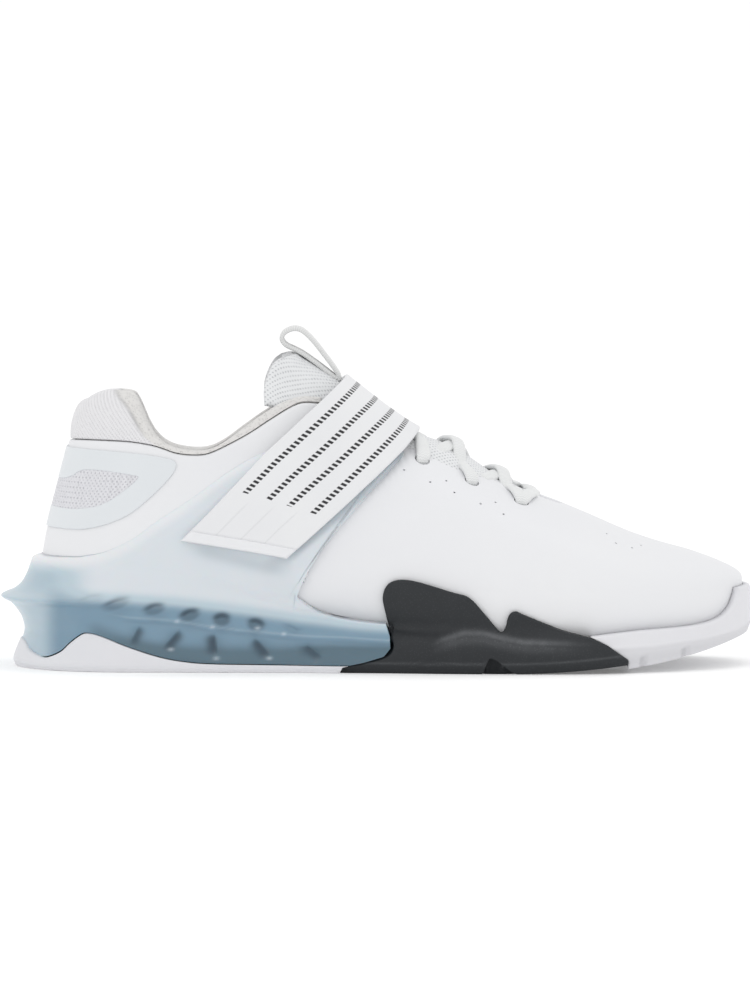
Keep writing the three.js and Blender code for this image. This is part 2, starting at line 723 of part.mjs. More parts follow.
// The white rubber under and round the toe.
function toeOutsole() {
  return soleBody(TOE_SIDE, (row) => () => row.out * TOE_BUMPER, fromFloor)
    .intersect(toeRegion())
    .subtract(lastClear)
    .subtract(grooves(TOE_LUGS));
}

// The hollow upper: a wall on the last, open at the collar, down the throat and underneath.
function throatCutter() {
  const half = (side) => THROAT.map((row) => {
    const x = soleX(row.at);
    const middle = follow(LAST, "ridge", lastAt(x)) * BALL_WIDTH;
    return new THREE.Vector2(x, middle + side * row.half * BALL_WIDTH);
  });
  const smooth = (points) => new THREE.SplineCurve(points).getPoints(2 * (points.length - 1));
  const outline = [...smooth(half(-1)), ...smooth(half(1)).reverse()];
  const start = outline[0];
  const end = outline.at(-1);
  outline.push(new THREE.Vector2(soleX(0.3), end.y), new THREE.Vector2(soleX(0.3), start.y));
  const geometry = new THREE.ExtrudeGeometry(new THREE.Shape(outline), {
    depth: TALL,
    bevelEnabled: false,
  });
  geometry.translate(0, 0, THROAT_FLOOR * COLLAR_HEIGHT);
  return solid(geometry);
}

function underside() {
  const well = loft([0, COLLAR_HEIGHT].map((z) => planRing(() => -LASTING_MARGIN, () => z)));
  return well.intersect(below(seatLine(2 * UPPER_WALL)));
}

// Where a lace goes through the upper, and the way out there.
function eyeletPlace(row, side) {
  const x = soleX(row.at);
  const z = row.up * COLLAR_HEIGHT;
  const place = (dx, dz) =>
    new THREE.Vector3(x + dx, side * halfWidth(x + dx, z + dz, side), z + dz);
  const normal = place(1, 0).sub(place(-1, 0)).cross(place(0, 1).sub(place(0, -1)));
  normal.multiplyScalar(side < 0 ? 1 : -1).normalize();
  return { place: place(0, 0), normal };
}

function eyeletHoles() {
  const holes = EYELETS.flatMap((row) => [-1, 1].map((side) => {
    const { place, normal } = eyeletPlace(row, side);
    const hole = new THREE.CylinderGeometry(EYELET_RADIUS, EYELET_RADIUS, 6 * UPPER_WALL, 9);
    const turn = new THREE.Quaternion().setFromUnitVectors(new THREE.Vector3(0, 1, 0), normal);
    hole.applyQuaternion(turn);
    hole.translate(place.x, place.y, place.z);
    return solid(hole);
  }));
  return holes.reduce((all, hole) => all.add(hole));
}

const upperEdge = line(UPPER_EDGE, upperUp);
const collarTop = line(COLLAR_TOP, upperUp, 3);

function upper() {
  return grown(0)
    .subtract(grown(-UPPER_WALL))
    .subtract(above(upperEdge, { tilt: TOPLINE_TILT }))
    .subtract(throatCutter())
    .subtract(underside())
    .subtract(eyeletHoles());
}

// The padded collar: it stands on the upper's edge and lines the quarters below it.
function padDepth(place) {
  const up = place.z / COLLAR_HEIGHT;
  const edge = follow(UPPER_EDGE, "up", (place.x - HEEL_X) / SOLE_LENGTH);
  const full = smoothstep(edge - LINING_DEPTH, edge - LINING_DEPTH / 4, up);
  const front = 1 - smoothstep(0.24, COLLAR_FRONT.at, (place.x - HEEL_X) / SOLE_LENGTH);
  return -(UPPER_WALL + GAP + LINING + COLLAR_PAD * full * mix(0.25, 1, front));
}

function collar() {
  const front = soleX(COLLAR_FRONT.at);
  const slant = COLLAR_FRONT.lean * SOLE_LENGTH;
  const frontCut = prism([
    corner(front, TALL), corner(front, COLLAR_HEIGHT), corner(front + slant, 0),
    corner(2 * SOLE_LENGTH, 0), corner(2 * SOLE_LENGTH, TALL),
  ]);
  const tilt = TOPLINE_TILT;
  const outside = grown(0).intersect(above(upperEdge, { dz: GAP, tilt }));
  return grown(-UPPER_WALL - GAP)
    .add(outside)
    .subtract(grown(padDepth))
    .subtract(above(collarTop, { tilt }))
    .subtract(below(upperEdge, { dz: -LINING_DEPTH * COLLAR_HEIGHT, tilt }))
    .subtract(frontCut);
}

// The tongue, under the throat and thicker at its top.
function tongue() {
  const pad = (place) => smoothstep(1.02, 1.1, place.z / COLLAR_HEIGHT);
  const outer = grown((place) => -mix(UPPER_WALL + GAP, GAP, pad(place)));
  const inner = grown(
    (place) => -(UPPER_WALL + GAP + TONGUE_THICKNESS + TONGUE_PAD * pad(place)),
  );
  const outline = [
    corner(soleX(TONGUE_END), TALL),
    corner(soleX(TONGUE_TOP[0].at), TALL),
    ...line(TONGUE_TOP, upperUp),
    ...line(TONGUE_UNDER, upperUp).slice(1),
    corner(soleX(TONGUE_END), TONGUE_UNDER.at(-1).up * COLLAR_HEIGHT),
  ];
  return outer.subtract(inner).intersect(prism(outline, { dx: 2 * GAP }));
}

// The insole, resting on the turned-in edge of the upper.
function insole() {
  return grown(-UPPER_WALL - GAP)
    .intersect(below(seatLine(UPPER_WALL + GAP + INSOLE_THICKNESS)));
}

// The strap: a band over the instep and the cage, from the medial side to its lateral tip.
// A stretch of it in the side view: from, to and trim are shares of the strap's width.
function strapBand(from, to, side) {
  const low = upperUp(STRAP_LINE.low);
  const along = upperUp(STRAP_LINE.high).sub(low).normalize().multiplyScalar(STRAP_WIDTH);
  const across = corner(along.y, -along.x);
  const end = side < 0 ? STRAP_END.lateral : STRAP_END.medial;
  const place = (far, edge) =>
    low.clone().addScaledVector(along, end.start + far + edge * end.slant).addScaledVector(across, edge);
  const points = [place(from, -0.5), place(from, 0.5), place(to, 0.5), place(to, -0.5)];
  return prism(points, side < 0 ? { to: LAP } : { from: -LAP });
}
const TIP_SHARE = STRAP_TIP_LENGTH / STRAP_WIDTH;

function strap() {
  const band = strapBand(TIP_SHARE + GAP / STRAP_WIDTH, STRAP_REACH, -1)
    .add(strapBand(0, STRAP_REACH, 1));
  const lift = (place) =>
    STRAP_LIFT + LACE_THICKNESS * 0.6 * smoothstep(0.72, 0.86, place.z / COLLAR_HEIGHT);
  return grown((place) => lift(place) + STRAP_THICKNESS)
    .subtract(grown(lift))
    .intersect(band);
}

function strapTip() {
  return grown(STRAP_LIFT + STRAP_TIP_THICKNESS)
    .subtract(grown(STRAP_LIFT - GAP / 2))
    .intersect(strapBand(0, TIP_SHARE, -1));
}

// The frame of thin film round the mesh window at the heel.
function heelCounter() {
  return grown(GAP + COUNTER_WALL)
    .subtract(lastClear)
    .intersect(prism(line(COUNTER, upperUp)))
    .subtract(prism(line(COUNTER_WINDOW, upperUp)));
}

// A flat cord along a path: at each point the way out of the surface and the thickness across it.
function cord(points, outward) {
  const rings = points.map((point, i) => {
    const before = points[Math.max(i - 1, 0)];
    const after = points[Math.min(i + 1, points.length - 1)];
    const along = after.clone().sub(before).normalize();
    const flat = new THREE.Vector3().crossVectors(along, outward[i]).normalize();
    const up = new THREE.Vector3().crossVectors(flat, along).normalize();
    return [0, 1, 2, 3, 4, 5].map((k) => {
      const turn = (k / 6) * 2 * Math.PI;
      return point.clone()
        .addScaledVector(flat, (Math.cos(turn) * LACE_WIDTH) / 2)
        .addScaledVector(up, (Math.sin(turn) * LACE_THICKNESS) / 2 / Math.sin(Math.PI / 3));
    });
  });
  const across = rings[0].length;
  const faces = [];
  for (let i = 0; i + 1 < rings.length; i += 1) {
    for (let j = 0; j < across; j += 1) {
      const next = (j + 1) % across;
      const [a, b] = [i * across + j, i * across + next];
      faces.push(a, b, a + across, b, b + across, a + across);
    }
  }
  const end = (rings.length - 1) * across;
  for (let j = 1; j + 1 < across; j += 1) faces.push(0, j + 1, j, end, end + j, end + j + 1);
  const made = solid(indexed(rings.flat(), faces));
  return made.volume() < 0 ? solid(indexed(rings.flat(), faces.reverse())) : made;
}

// The top of the last over a place in the plan.
function topHeight(x, y) {
  const s = station(lastAt(x));
  const width = y < s.ridge ? s.lateral : s.medial;
  const out = clamp(Math.abs(y - s.ridge) / width, 0, 1);
  return mix(s.widest, s.top, Math.pow(1 - Math.pow(out, s.bulge), 1 / s.bulge));
}

// A lace from the eyelet of one row to the other side's eyelet of the next, between two shares of
// the way there.
function laceRun(row, nextRow, side, from, to, arch = 0) {
  const start = eyeletPlace(row, side).place;
  const finish = eyeletPlace(nextRow, -side).place;
  const points = [];
  const outward = [];
  for (let i = 0; i <= LACE_STEPS; i += 1) {
    const share = mix(from, to, i / LACE_STEPS);
    const [x, y] = [mix(start.x, finish.x, share), mix(start.y, finish.y, share)];
    const slopeX = topHeight(x + 1, y) - topHeight(x - 1, y);
    const slopeY = topHeight(x, y + 1) - topHeight(x, y - 1);
    const normal = new THREE.Vector3(-slopeX / 2, -slopeY / 2, 1).normalize();
    outward.push(normal);
    const off = Math.min(Math.abs(share - 0.5) / LACE_CREST, 1);
    const high = LACE_LIFT + arch * Math.cos((off * Math.PI) / 2) ** 2;
    const toEnd = Math.min(from < LACE_SINK ? 1 : share - from, to > 1 - LACE_SINK ? 1 : to - share);
    const lift = mix(LACE_REST, high, smoothstep(0, LACE_DIP, toEnd));
    points.push(new THREE.Vector3(x, y, topHeight(x, y)).addScaledVector(normal, lift));
  }
  return cord(points, outward);
}

function laceBar() {
  const row = EYELETS.at(-1);
  return laceRun(row, row, -1, 0.02, 0.98);
}

// Two laces that come out of the eyelets of one row and cross to go under the eyestay at the row above.
// Those of the lowest row, which the bar goes into, start under the eyestay too.
function laceCross(i) {
  const [low, high] = [EYELETS[i + 1], EYELETS[i]];
  const arch = i < HIDDEN_LACES ? 0 : LACE_ARCH;
  const from = low === EYELETS.at(-1) ? LACE_SINK : 0.02;
  const cross = (side) => laceRun(low, high, side, from, 1 - LACE_SINK, arch);
  return cross(-1).add(cross(1));
}

// The webbing loop at the tongue's top.
function pullLoop() {
  const path = line(PULL_LOOP, upperUp, 3);
  const half = LOOP_THICKNESS / 2;
  const sideOf = (sign) => path.map((point, i) => {
    const before = path[Math.max(i - 1, 0)];
    const after = path[Math.min(i + 1, path.length - 1)];
    const along = after.clone().sub(before).normalize();
    return corner(point.x - along.y * half * sign, point.y + along.x * half * sign);
  });
  return prism([...sideOf(1), ...sideOf(-1).reverse()], { from: -LOOP_WIDTH / 2, to: LOOP_WIDTH / 2 });
}

// Colours and finishes.
const finish = (color, roughness) =>
  new THREE.MeshStandardMaterial({ color, roughness, metalness: 0 });
const WHITE_RUBBER = finish(0xecebef, 0.55);
const WEDGE_PLASTIC = finish(0x9fb6c6, 0.25);
const DARK_RUBBER = finish(0x3a3c40, 0.5);
const WHITE_LEATHER = finish(0xf0f1f4, 0.45);
const COLLAR_CLOTH = finish(0xe4e3e2, 0.9);
const WHITE_WEB = finish(0xf1f1f3, 0.8);

const shoe = new THREE.Group();
function put(name, made, material) {
  const mesh = made.getMesh();
  const geometry = new THREE.BufferGeometry();
  const places = new Float32Array(mesh.numVert * 3);
  for (let i = 0; i < mesh.numVert; i += 1) {
    places.set(mesh.vertProperties.subarray(i * mesh.numProp, i * mesh.numProp + 3), i * 3);
  }
  geometry.setAttribute("position", new THREE.BufferAttribute(places, 3));
  geometry.setIndex(new THREE.BufferAttribute(mesh.triVerts, 1));
  geometry.computeVertexNormals();
  const piece = new THREE.Mesh(geometry, material);
  piece.name = name;
  shoe.add(piece);
}

put("heel_outsole", heelOutsole(), WHITE_RUBBER);
put("heel_wedge", heelWedge(), WEDGE_PLASTIC);
put("forefoot_outsole", forefootOutsole(), DARK_RUBBER);
put("toe_outsole", toeOutsole(), WHITE_RUBBER);
put("upper", upper(), WHITE_LEATHER);
put("collar", collar(), COLLAR_CLOTH);
put("tongue", tongue(), COLLAR_CLOTH);
put("insole", insole(), COLLAR_CLOTH);
put("heel_counter", heelCounter(), WHITE_LEATHER);
put("strap", strap(), WHITE_WEB);
put("strap_tip", strapTip(), WHITE_WEB);
put("pull_loop", pullLoop(), WHITE_WEB);
put("lace_bar", laceBar(), WHITE_WEB);
for (let i = 0; i + 1 < EYELETS.length; i += 1) put(`lace_cross_${i + 1}`, laceCross(i), WHITE_WEB);

export default shoe;
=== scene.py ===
import math
import bmesh
import bpy
import numpy as np
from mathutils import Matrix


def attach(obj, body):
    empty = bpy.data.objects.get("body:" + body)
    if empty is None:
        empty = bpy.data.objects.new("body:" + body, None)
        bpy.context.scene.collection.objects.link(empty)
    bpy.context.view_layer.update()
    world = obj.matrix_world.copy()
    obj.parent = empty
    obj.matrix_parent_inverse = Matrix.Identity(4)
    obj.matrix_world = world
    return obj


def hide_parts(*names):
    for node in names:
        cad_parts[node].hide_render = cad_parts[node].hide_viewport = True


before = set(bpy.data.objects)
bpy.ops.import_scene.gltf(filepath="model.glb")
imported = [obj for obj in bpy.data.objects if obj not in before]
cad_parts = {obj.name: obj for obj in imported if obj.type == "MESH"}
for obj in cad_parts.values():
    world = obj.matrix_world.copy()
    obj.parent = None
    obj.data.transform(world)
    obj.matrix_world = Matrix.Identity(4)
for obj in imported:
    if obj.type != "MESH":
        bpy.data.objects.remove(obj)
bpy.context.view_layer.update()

# A weightlifting shoe for the right foot. Sizes are in millimetres, in the frame's own axes: +X to the
# toe, +Y to the medial side, +Z up. Meshes are written in metres.
shoe = {
    "soleLength": 302.0,
    "heelX": -148.3,  # outsole's heel edge
    "heelSetback": 11.5,
    "toeBumper": 3.3,
    "ballWidth": 104.0,
    "collarHeight": 116.0,
    "cupHeight": 49.0,
    "heelStack": 31.0,
    "forefootStack": 11.0,
    "toeSpring": 14.0,
    "wall": 2.2,  # upper
    "gap": 0.3,
}
lastLength = shoe["soleLength"] - shoe["heelSetback"] - shoe["toeBumper"]
wall, gap = shoe["wall"], shoe["gap"]
tall, cup = shoe["collarHeight"], shoe["cupHeight"]

# The last. Columns: at, lateral, medial, ridge, top, widest, bulge
lastTable = np.array([
    [0.0, 0.322, 0.322, 0.0, 1.03, 0.36, 2.7],
    [0.06, 0.335, 0.332, 0.0, 1.12, 0.36, 2.6],
    [0.12, 0.342, 0.336, 0.0, 1.21, 0.36, 2.5],
    [0.22, 0.35, 0.335, 0.0, 1.27, 0.36, 2.3],
    [0.31, 0.365, 0.325, 0.0, 1.21, 0.35, 2.2],
    [0.37, 0.382, 0.322, 0.002, 1.1, 0.345, 2.1],
    [0.44, 0.408, 0.325, 0.006, 0.955, 0.33, 2.0],
    [0.51, 0.44, 0.34, 0.013, 0.828, 0.31, 2.0],
    [0.58, 0.475, 0.368, 0.021, 0.748, 0.29, 2.0],
    [0.65, 0.502, 0.402, 0.03, 0.662, 0.265, 2.05],
    [0.71, 0.516, 0.43, 0.038, 0.603, 0.25, 2.1],
    [0.77, 0.52, 0.44, 0.046, 0.541, 0.24, 2.15],
    [0.85, 0.508, 0.432, 0.058, 0.456, 0.235, 2.25],
    [0.93, 0.49, 0.42, 0.07, 0.398, 0.235, 2.35],
    [1.0, 0.47, 0.405, 0.08, 0.362, 0.235, 2.4],
])
leanTable = np.array([
    [0.25, 0.012], [0.36, 0.0], [0.44, 0.008], [0.52, 0.026], [0.6, 0.046], [0.71, 0.075],
    [0.8, 0.098], [0.86, 0.108], [0.92, 0.126], [0.97, 0.166], [1.03, 0.235],
])
seatTable = np.array([
    [0.0, 1.0], [0.24, 0.97], [0.4, 0.66], [0.55, 0.2], [0.66, 0.02], [0.75, 0.0], [1.0, 0.0],
])


def mix(low, high, share):
    return low + (high - low) * share


def smooth(low, high, value):
    t = np.clip((np.asarray(value, float) - low) / (high - low), 0, 1)
    return t * t * (3 - 2 * t)


# A bell: 1 at 0 and 1/e at its width; a higher power makes its top flatter.
def bell(value, width=1.0, power=2):
    return np.exp(-((value / width) ** power))


# Quarter circle: 0 at a rim and 1 where the piece has its whole thickness.
def quarter(near):
    return np.sqrt(1 - (1 - near) ** 2)


def unit(way):
    return way / np.linalg.norm(way, axis=-1, keepdims=True)


# Lengths along the rows or columns of a grid, 0 at the first place.
def lengthAlong(grid, axis=0):
    steps = np.linalg.norm(np.diff(grid, axis=axis), axis=-1)
    return np.concatenate([np.zeros_like(np.take(steps, [0], axis)), np.cumsum(steps, axis)], axis)


# Smooth curve through one column of a table: a cubic between rows, sloped by the rows before and after.
def curve(rows, column, value):
    rows = np.asarray(rows, float)
    keys, heights = rows[:, 0], rows[:, column]
    slopes = np.empty_like(heights)
    slopes[1:-1] = (heights[2:] - heights[:-2]) / (keys[2:] - keys[:-2])
    slopes[0] = (heights[1] - heights[0]) / (keys[1] - keys[0])
    slopes[-1] = (heights[-1] - heights[-2]) / (keys[-1] - keys[-2])
    v = np.clip(value, keys[0], keys[-1])
    i = np.clip(np.searchsorted(keys, v, side="right") - 1, 0, len(keys) - 2)
    span = keys[i + 1] - keys[i]
    t = (v - keys[i]) / span
    a, b = heights[i], heights[i + 1]
    bend = (1 - t) * (slopes[i] * span - (b - a)) - t * (slopes[i + 1] * span - (b - a))
    return a + (b - a) * t + t * (1 - t) * bend


# Rounded run through points: each stretch is a cubic that leaves a point in the direction from the
# one before it to the one after it.
def throughPoints(points, steps=8):
    p = np.asarray(points, float)
    ends = np.vstack([p[0], p, p[-1]])
    t = (np.arange(steps) / steps)[:, None]
    runs = []
    for k in range(len(p) - 1):
        a, b, c, d = ends[k], ends[k + 1], ends[k + 2], ends[k + 3]
        v0, v1 = (c - a) / 2, (d - b) / 2
        runs.append((2 * b - 2 * c + v0 + v1) * t**3 + (3 * c - 3 * b - 2 * v0 - v1) * t**2 + v0 * t + b)
    return np.vstack(runs + [p[-1:]])


def soleX(at):
    return shoe["heelX"] + np.asarray(at, float) * shoe["soleLength"]


def soleShare(x):
    return (x - shoe["heelX"]) / shoe["soleLength"]


def lastX(at):
    return shoe["heelX"] + shoe["heelSetback"] + np.asarray(at, float) * lastLength


def lastAt(x):
    return (np.asarray(x, float) - shoe["heelX"] - shoe["heelSetback"]) / lastLength


# Side-view outlines: rows of (share of the sole's length, share of a height) made into x and z.
def outline(rows, height, steps=8):
    rows = np.asarray(rows, float)
    return throughPoints(np.column_stack([soleX(rows[:, 0]), rows[:, 1] * height]), steps)


def heightOn(line, x):
    return np.interp(x, line[:, 0], line[:, 1])


# Lift of the tread under the toe: the square of the way from where it leaves the floor.
def spring(x):
    start = soleX(0.66)
    t = np.maximum(np.asarray(x, float) - start, 0) / (soleX(1) - start)
    return shoe["toeSpring"] * t * t


def seat(at):
    raised = curve(seatTable, 1, at)
    return mix(shoe["forefootStack"], shoe["heelStack"], raised) + 0.6 * spring(lastX(at))


def lean(z, at):
    return curve(leanTable, 1, np.asarray(z) / tall) * tall * (1 - smooth(0, 0.3, at))


# Quarter of a superellipse: 1 where an end starts to close and 0 at its tip.
def roundEnd(share, exponent):
    return (1 - np.clip(share, 0, 1) ** exponent) ** (1 / exponent)


def station(at):
    at = np.clip(at, 0, 1)
    closing = roundEnd(1 - at / 0.15, 2.15) * roundEnd((at - 0.74) / 0.26, 2.25)
    widest = curve(lastTable, 5, at) * tall + 0.6 * spring(lastX(at))
    top = curve(lastTable, 4, at) * tall
    return {
        "ridge": curve(lastTable, 3, at) * shoe["ballWidth"],
        "lateral": curve(lastTable, 1, at) * shoe["ballWidth"] * closing,
        "medial": curve(lastTable, 2, at) * shoe["ballWidth"] * closing,
        "seat": seat(at),
        "widest": widest,
        "top": widest + (top - widest) * roundEnd((at - 0.91) / 0.09, 2.2),
        "bulge": curve(lastTable, 6, at),
    }


def halfWidth(s, side):
    return np.where(side < 0, s["lateral"], s["medial"])


# How far a height is up from the widest line, 1 at the top.
def riseOn(s, z):
    return np.clip((z - s["widest"]) / np.maximum(s["top"] - s["widest"], 1e-6), 0, 1)


# A place on the last: half width times the superellipse (1 - rise^n)^(1/n) above the widest line, and a
# slight tuck below it. side is -1 for lateral and 1 for medial.
def lastPoint(at, z, side):
    s = station(at)
    drop = np.clip((s["widest"] - z) / (s["widest"] - s["seat"]), 0, 1)
    out = roundEnd(riseOn(s, z), s["bulge"]) * (1 - 0.1 * drop**2)
    x = lastX(at) + lean(z, at)
    return np.stack(np.broadcast_arrays(x, s["ridge"] + side * halfWidth(s, side) * out, z), axis=-1)


def atOf(x, z):
    at = lastAt(x)
    for _ in range(8):
        at = lastAt(x - lean(z, np.clip(at, 0, 1)))
    return np.clip(at, 0, 1)


# The plan outline at the widest line, and the way out of it, from a small step to each side.
shareTable = np.linspace(0, 1, 4001)
stationTable = mix(shareTable, (1 - np.cos(np.pi * shareTable)) / 2, 0.72)


def ringPlace(share):
    share = np.mod(share, 2)
    side = np.where(share <= 1, -1.0, 1.0)
    at = np.interp(np.where(share <= 1, share, 2 - share), shareTable, stationTable)
    s = station(at)
    return np.stack([lastX(at), s["ridge"] + side * halfWidth(s, side)], axis=-1)


def planRing(at, side):
    along = np.interp(at, stationTable, shareTable)
    share = np.where(side < 0, along, 2 - along)
    step = 0.25 / 30
    run = unit(ringPlace(share + step) - ringPlace(share - step))
    return ringPlace(share), np.stack([run[..., 1], -run[..., 0]], axis=-1)


# A row of places moved in, square to the plan outline.
def movedIn(row, way, inset):
    row = row.copy()
    row[:, :2] -= way * inset
    return row


# Ways out of a grid of places: the cross product of its two directions, turned away from the foot.
def waysOut(grid, wrap=False):
    if wrap:
        along = np.roll(grid, -1, 0) - np.roll(grid, 1, 0)
    else:
        along = np.gradient(grid, axis=0)
    across = np.gradient(grid, axis=1)
    out = np.cross(along, across)
    size = np.linalg.norm(out, axis=-1, keepdims=True)
    weak = size[..., 0] < 1e-7
    out = out / np.maximum(size, 1e-12)
    s = station(atOf(grid[..., 0], grid[..., 2]))
    core = np.stack([np.clip(grid[..., 0], -110, 110), s["ridge"], s["seat"] + 22], axis=-1)
    if np.sum((out * (grid - core))[~weak]) < 0:
        out = -out
    out[weak] = (1, 0, 0)
    return out


# Shortest way along the grid to its marked borders: a and b are its first and last rows, c and d its
# first and last columns.
def rimDistance(grid, borders):
    far = np.full(grid.shape[:2], 1e3)
    for axis, (first, last) in enumerate(("ab", "cd")):
        run = lengthAlong(grid, axis)
        if first in borders:
            far = np.minimum(far, run)
        if last in borders:
            far = np.minimum(far, np.take(run, [-1], axis) - run)
    return far


# Shares from 0 to 1 that crowd at the ends, so that a rim rounds over there.
def crowded(count, near=0.03, both=True):
    rim = np.array([0, 0.06, 0.2, 0.45, 0.75]) * near
    if both:
        return np.concatenate([rim, np.linspace(near, 1 - near, count), 1 - rim[::-1]])
    return np.concatenate([np.linspace(0, 1 - near, count), 1 - rim[::-1]])


def gridFaces(rows, columns, start=0, wrapRows=False, wrapColumns=False):
    i = np.arange(rows if wrapRows else rows - 1)[:, None]
    j = np.arange(columns if wrapColumns else columns - 1)[None, :]
    a = i * columns + j
    b = i * columns + (j + 1) % columns
    c = ((i + 1) % rows) * columns + (j + 1) % columns
    d = ((i + 1) % rows) * columns + j
    return np.stack([a, b, c, d], axis=-1).reshape(-1, 4) + start


def newObject(name, data):
    made = bpy.data.objects.new(name, data)
    bpy.context.scene.collection.objects.link(made)
    return made


# A piece from places in millimetres and faces. Doubles merge, which closes seams and poles, and then
# every face is turned outwards.
def makePiece(name, places, faces, marks=None):
    mesh = bpy.data.meshes.new(name)
    mesh.from_pydata((np.asarray(places).reshape(-1, 3) * 0.001).tolist(), [], np.asarray(faces).tolist())
    for key, values in (marks or {}).items():
        mark = mesh.attributes.new(key, "FLOAT", "POINT")
        mark.data.foreach_set("value", np.asarray(values, np.float32).ravel())
    work = bmesh.new()
    work.from_mesh(mesh)
    bmesh.ops.remove_doubles(work, verts=work.verts, dist=2e-6)
    bmesh.ops.recalc_face_normals(work, faces=work.faces)
    if work.calc_volume(signed=True) < 0:
        bmesh.ops.reverse_faces(work, faces=work.faces)
    work.to_mesh(mesh)
    work.free()
    mesh.shade_smooth()
    return newObject(name, mesh)


# Closed solid between two grids of the same size: an outer and an inner one, or a lateral and a medial
# one, whose rows climb the wall and whose columns run along it.
def wallBetween(outer, inner, wrapRows=False, free=None):
    rows, columns = outer.shape[:2]
    count = rows * columns
    index = np.arange(count).reshape(rows, columns)
    faces = [gridFaces(rows, columns, 0, wrapRows), gridFaces(rows, columns, count, wrapRows)[:, ::-1]]
    borders = [] if wrapRows else [index[0], index[-1]]
    borders += [index[:, 0], index[:, -1]]
    for k, line in enumerate(borders):
        line = np.append(line, line[0]) if wrapRows else line
        strip = np.stack([line[:-1], line[1:], line[1:] + count, line[:-1] + count], axis=-1)
        if free is not None and k == len(borders) - 1:  # where the last column is a free edge
            strip = strip[free | np.roll(free, -1)]
        faces.append(strip)
    return np.concatenate([outer.reshape(-1, 3), inner.reshape(-1, 3)]), np.vstack(faces)


# A sheet on the last with rounded rims: half its thickness times a quarter circle near its borders.
def softSheet(grid, out, lift, thick, radius, borders, wrapRows=False):
    half = thick / 2 * quarter(np.clip(rimDistance(grid, borders) / radius, 0, 1))
    middle = lift + thick / 2
    outer = grid + out * (middle + half)[..., None]
    inner = grid + out * (middle - half)[..., None]
    return wallBetween(outer, inner, wrapRows)


# Marks of a sheet, the same on both its faces.
def bothFaces(**marks):
    return {key: np.stack([values, values]) for key, values in marks.items()}


def settle(piece, paint, slot, *nodes, pad=None):
    piece.data.materials.append(paint)
    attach(piece, "root")
    if nodes:
        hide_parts(*nodes)


fullTurn = 2 * math.pi


# Shader maths: a wire is one output, and an expression on wires adds its nodes.
class Wire:
    def __init__(self, paint, socket):
        self.paint = paint
        self.socket = socket

    def maths(self, operation, *values):
        return self.paint.node("Math", {"operation": operation}, dict(enumerate(values)))

    def __add__(self, other):
        return self.maths("ADD", self, other)

    __radd__ = __add__

    def __sub__(self, other):
        return self.maths("SUBTRACT", self, other)

    def __rsub__(self, other):
        return self.maths("SUBTRACT", other, self)

    def __mul__(self, other):
        return self.maths("MULTIPLY", self, other)

    __rmul__ = __mul__

    def sine(self):
        return self.maths("SINE", self)

    def size(self):
        return self.maths("ABSOLUTE", self)

    def part(self):
        return self.maths("FRACT", self)

    # a sine wave with a pitch in millimetres
    def ripple(self, pitch):
        return (self * (fullTurn / pitch)).sine()

    # 0 below low, 1 above high and soft between
    def between(self, low, high):
        return self.paint.node("MapRange", {"interpolation_type": "SMOOTHSTEP"},
                               {"Value": self, "From Min": low, "From Max": high})


class Paint:
    def __init__(self, name):
        self.material = bpy.data.materials.new(name)
        self.material.use_nodes = True
        self.tree = self.material.node_tree
        self.tree.nodes.clear()
        self.place = self.node("TexCoord", out="Object")

    def node(self, kind, settings=None, values=None, out=0):
        made = self.tree.nodes.new("ShaderNode" + kind)
        for key, value in (settings or {}).items():
            setattr(made, key, value)
        for key, value in (values or {}).items():
            if isinstance(value, Wire):
                self.tree.links.new(value.socket, made.inputs[key])
            else:
                made.inputs[key].default_value = value
        return Wire(self, made.outputs[out]) if out is not None else None

    def mark(self, name):
        return self.node("Attribute", {"attribute_name": name}, out="Fac")

    # cloudy noise from 0 to 1, with grains of a size in millimetres
    def cloud(self, grain, detail=2.0):
        return self.node("TexNoise", None, {"Vector": self.place, "Scale": 1000 / grain, "Detail": detail})

    # small cells: the distance to the nearest of points a size in millimetres apart
    def cells(self, grain):
        return self.node("TexVoronoi", None, {"Vector": self.place, "Scale": 1000 / grain})

    def blend(self, first, second, share):
        return self.node("Mix", {"data_type": "RGBA"}, {0: share, 6: first, 7: second}, out=2)

    # bumps of a depth in millimetres
    def relief(self, height, depth, strength):
        return self.node("Bump", None, {"Height": height, "Distance": depth * 0.001, "Strength": strength})

    def finish(self, colour, rough, relief=None, **fixed):
        values = {"Base Color": colour, "Roughness": rough}
        if relief:
            values["Normal"] = relief
        values.update({key.replace("_", " "): value for key, value in fixed.items()})
        shader = self.node("BsdfPrincipled", None, values)
        self.node("OutputMaterial", None, {"Surface": shader}, out=None)
        return self.material


# Camera at the photograph's angle: four degrees up, square to the lateral side, far away.
view = {"elevation": 4.0, "distance": 6000.0, "target": (-0.37, 0.0, 67.5), "pixels": 750,
        "millimetresPerPixel": 0.41}
tilt = math.radians(view["elevation"])
eye = np.array(view["target"]) + view["distance"] * np.array([0, -math.cos(tilt), math.sin(tilt)])
lens = bpy.data.cameras.new("camera")
lens.sensor_fit = "HORIZONTAL"
lens.sensor_width = 36
lens.lens = lens.sensor_width * view["distance"] / (view["pixels"] * view["millimetresPerPixel"])
lens.clip_end = 200
camera = newObject("camera", lens)
camera.location = eye * 0.001
camera.rotation_euler = (math.radians(90) - tilt, 0, 0)
bpy.context.scene.camera = camera
print("camera placed")

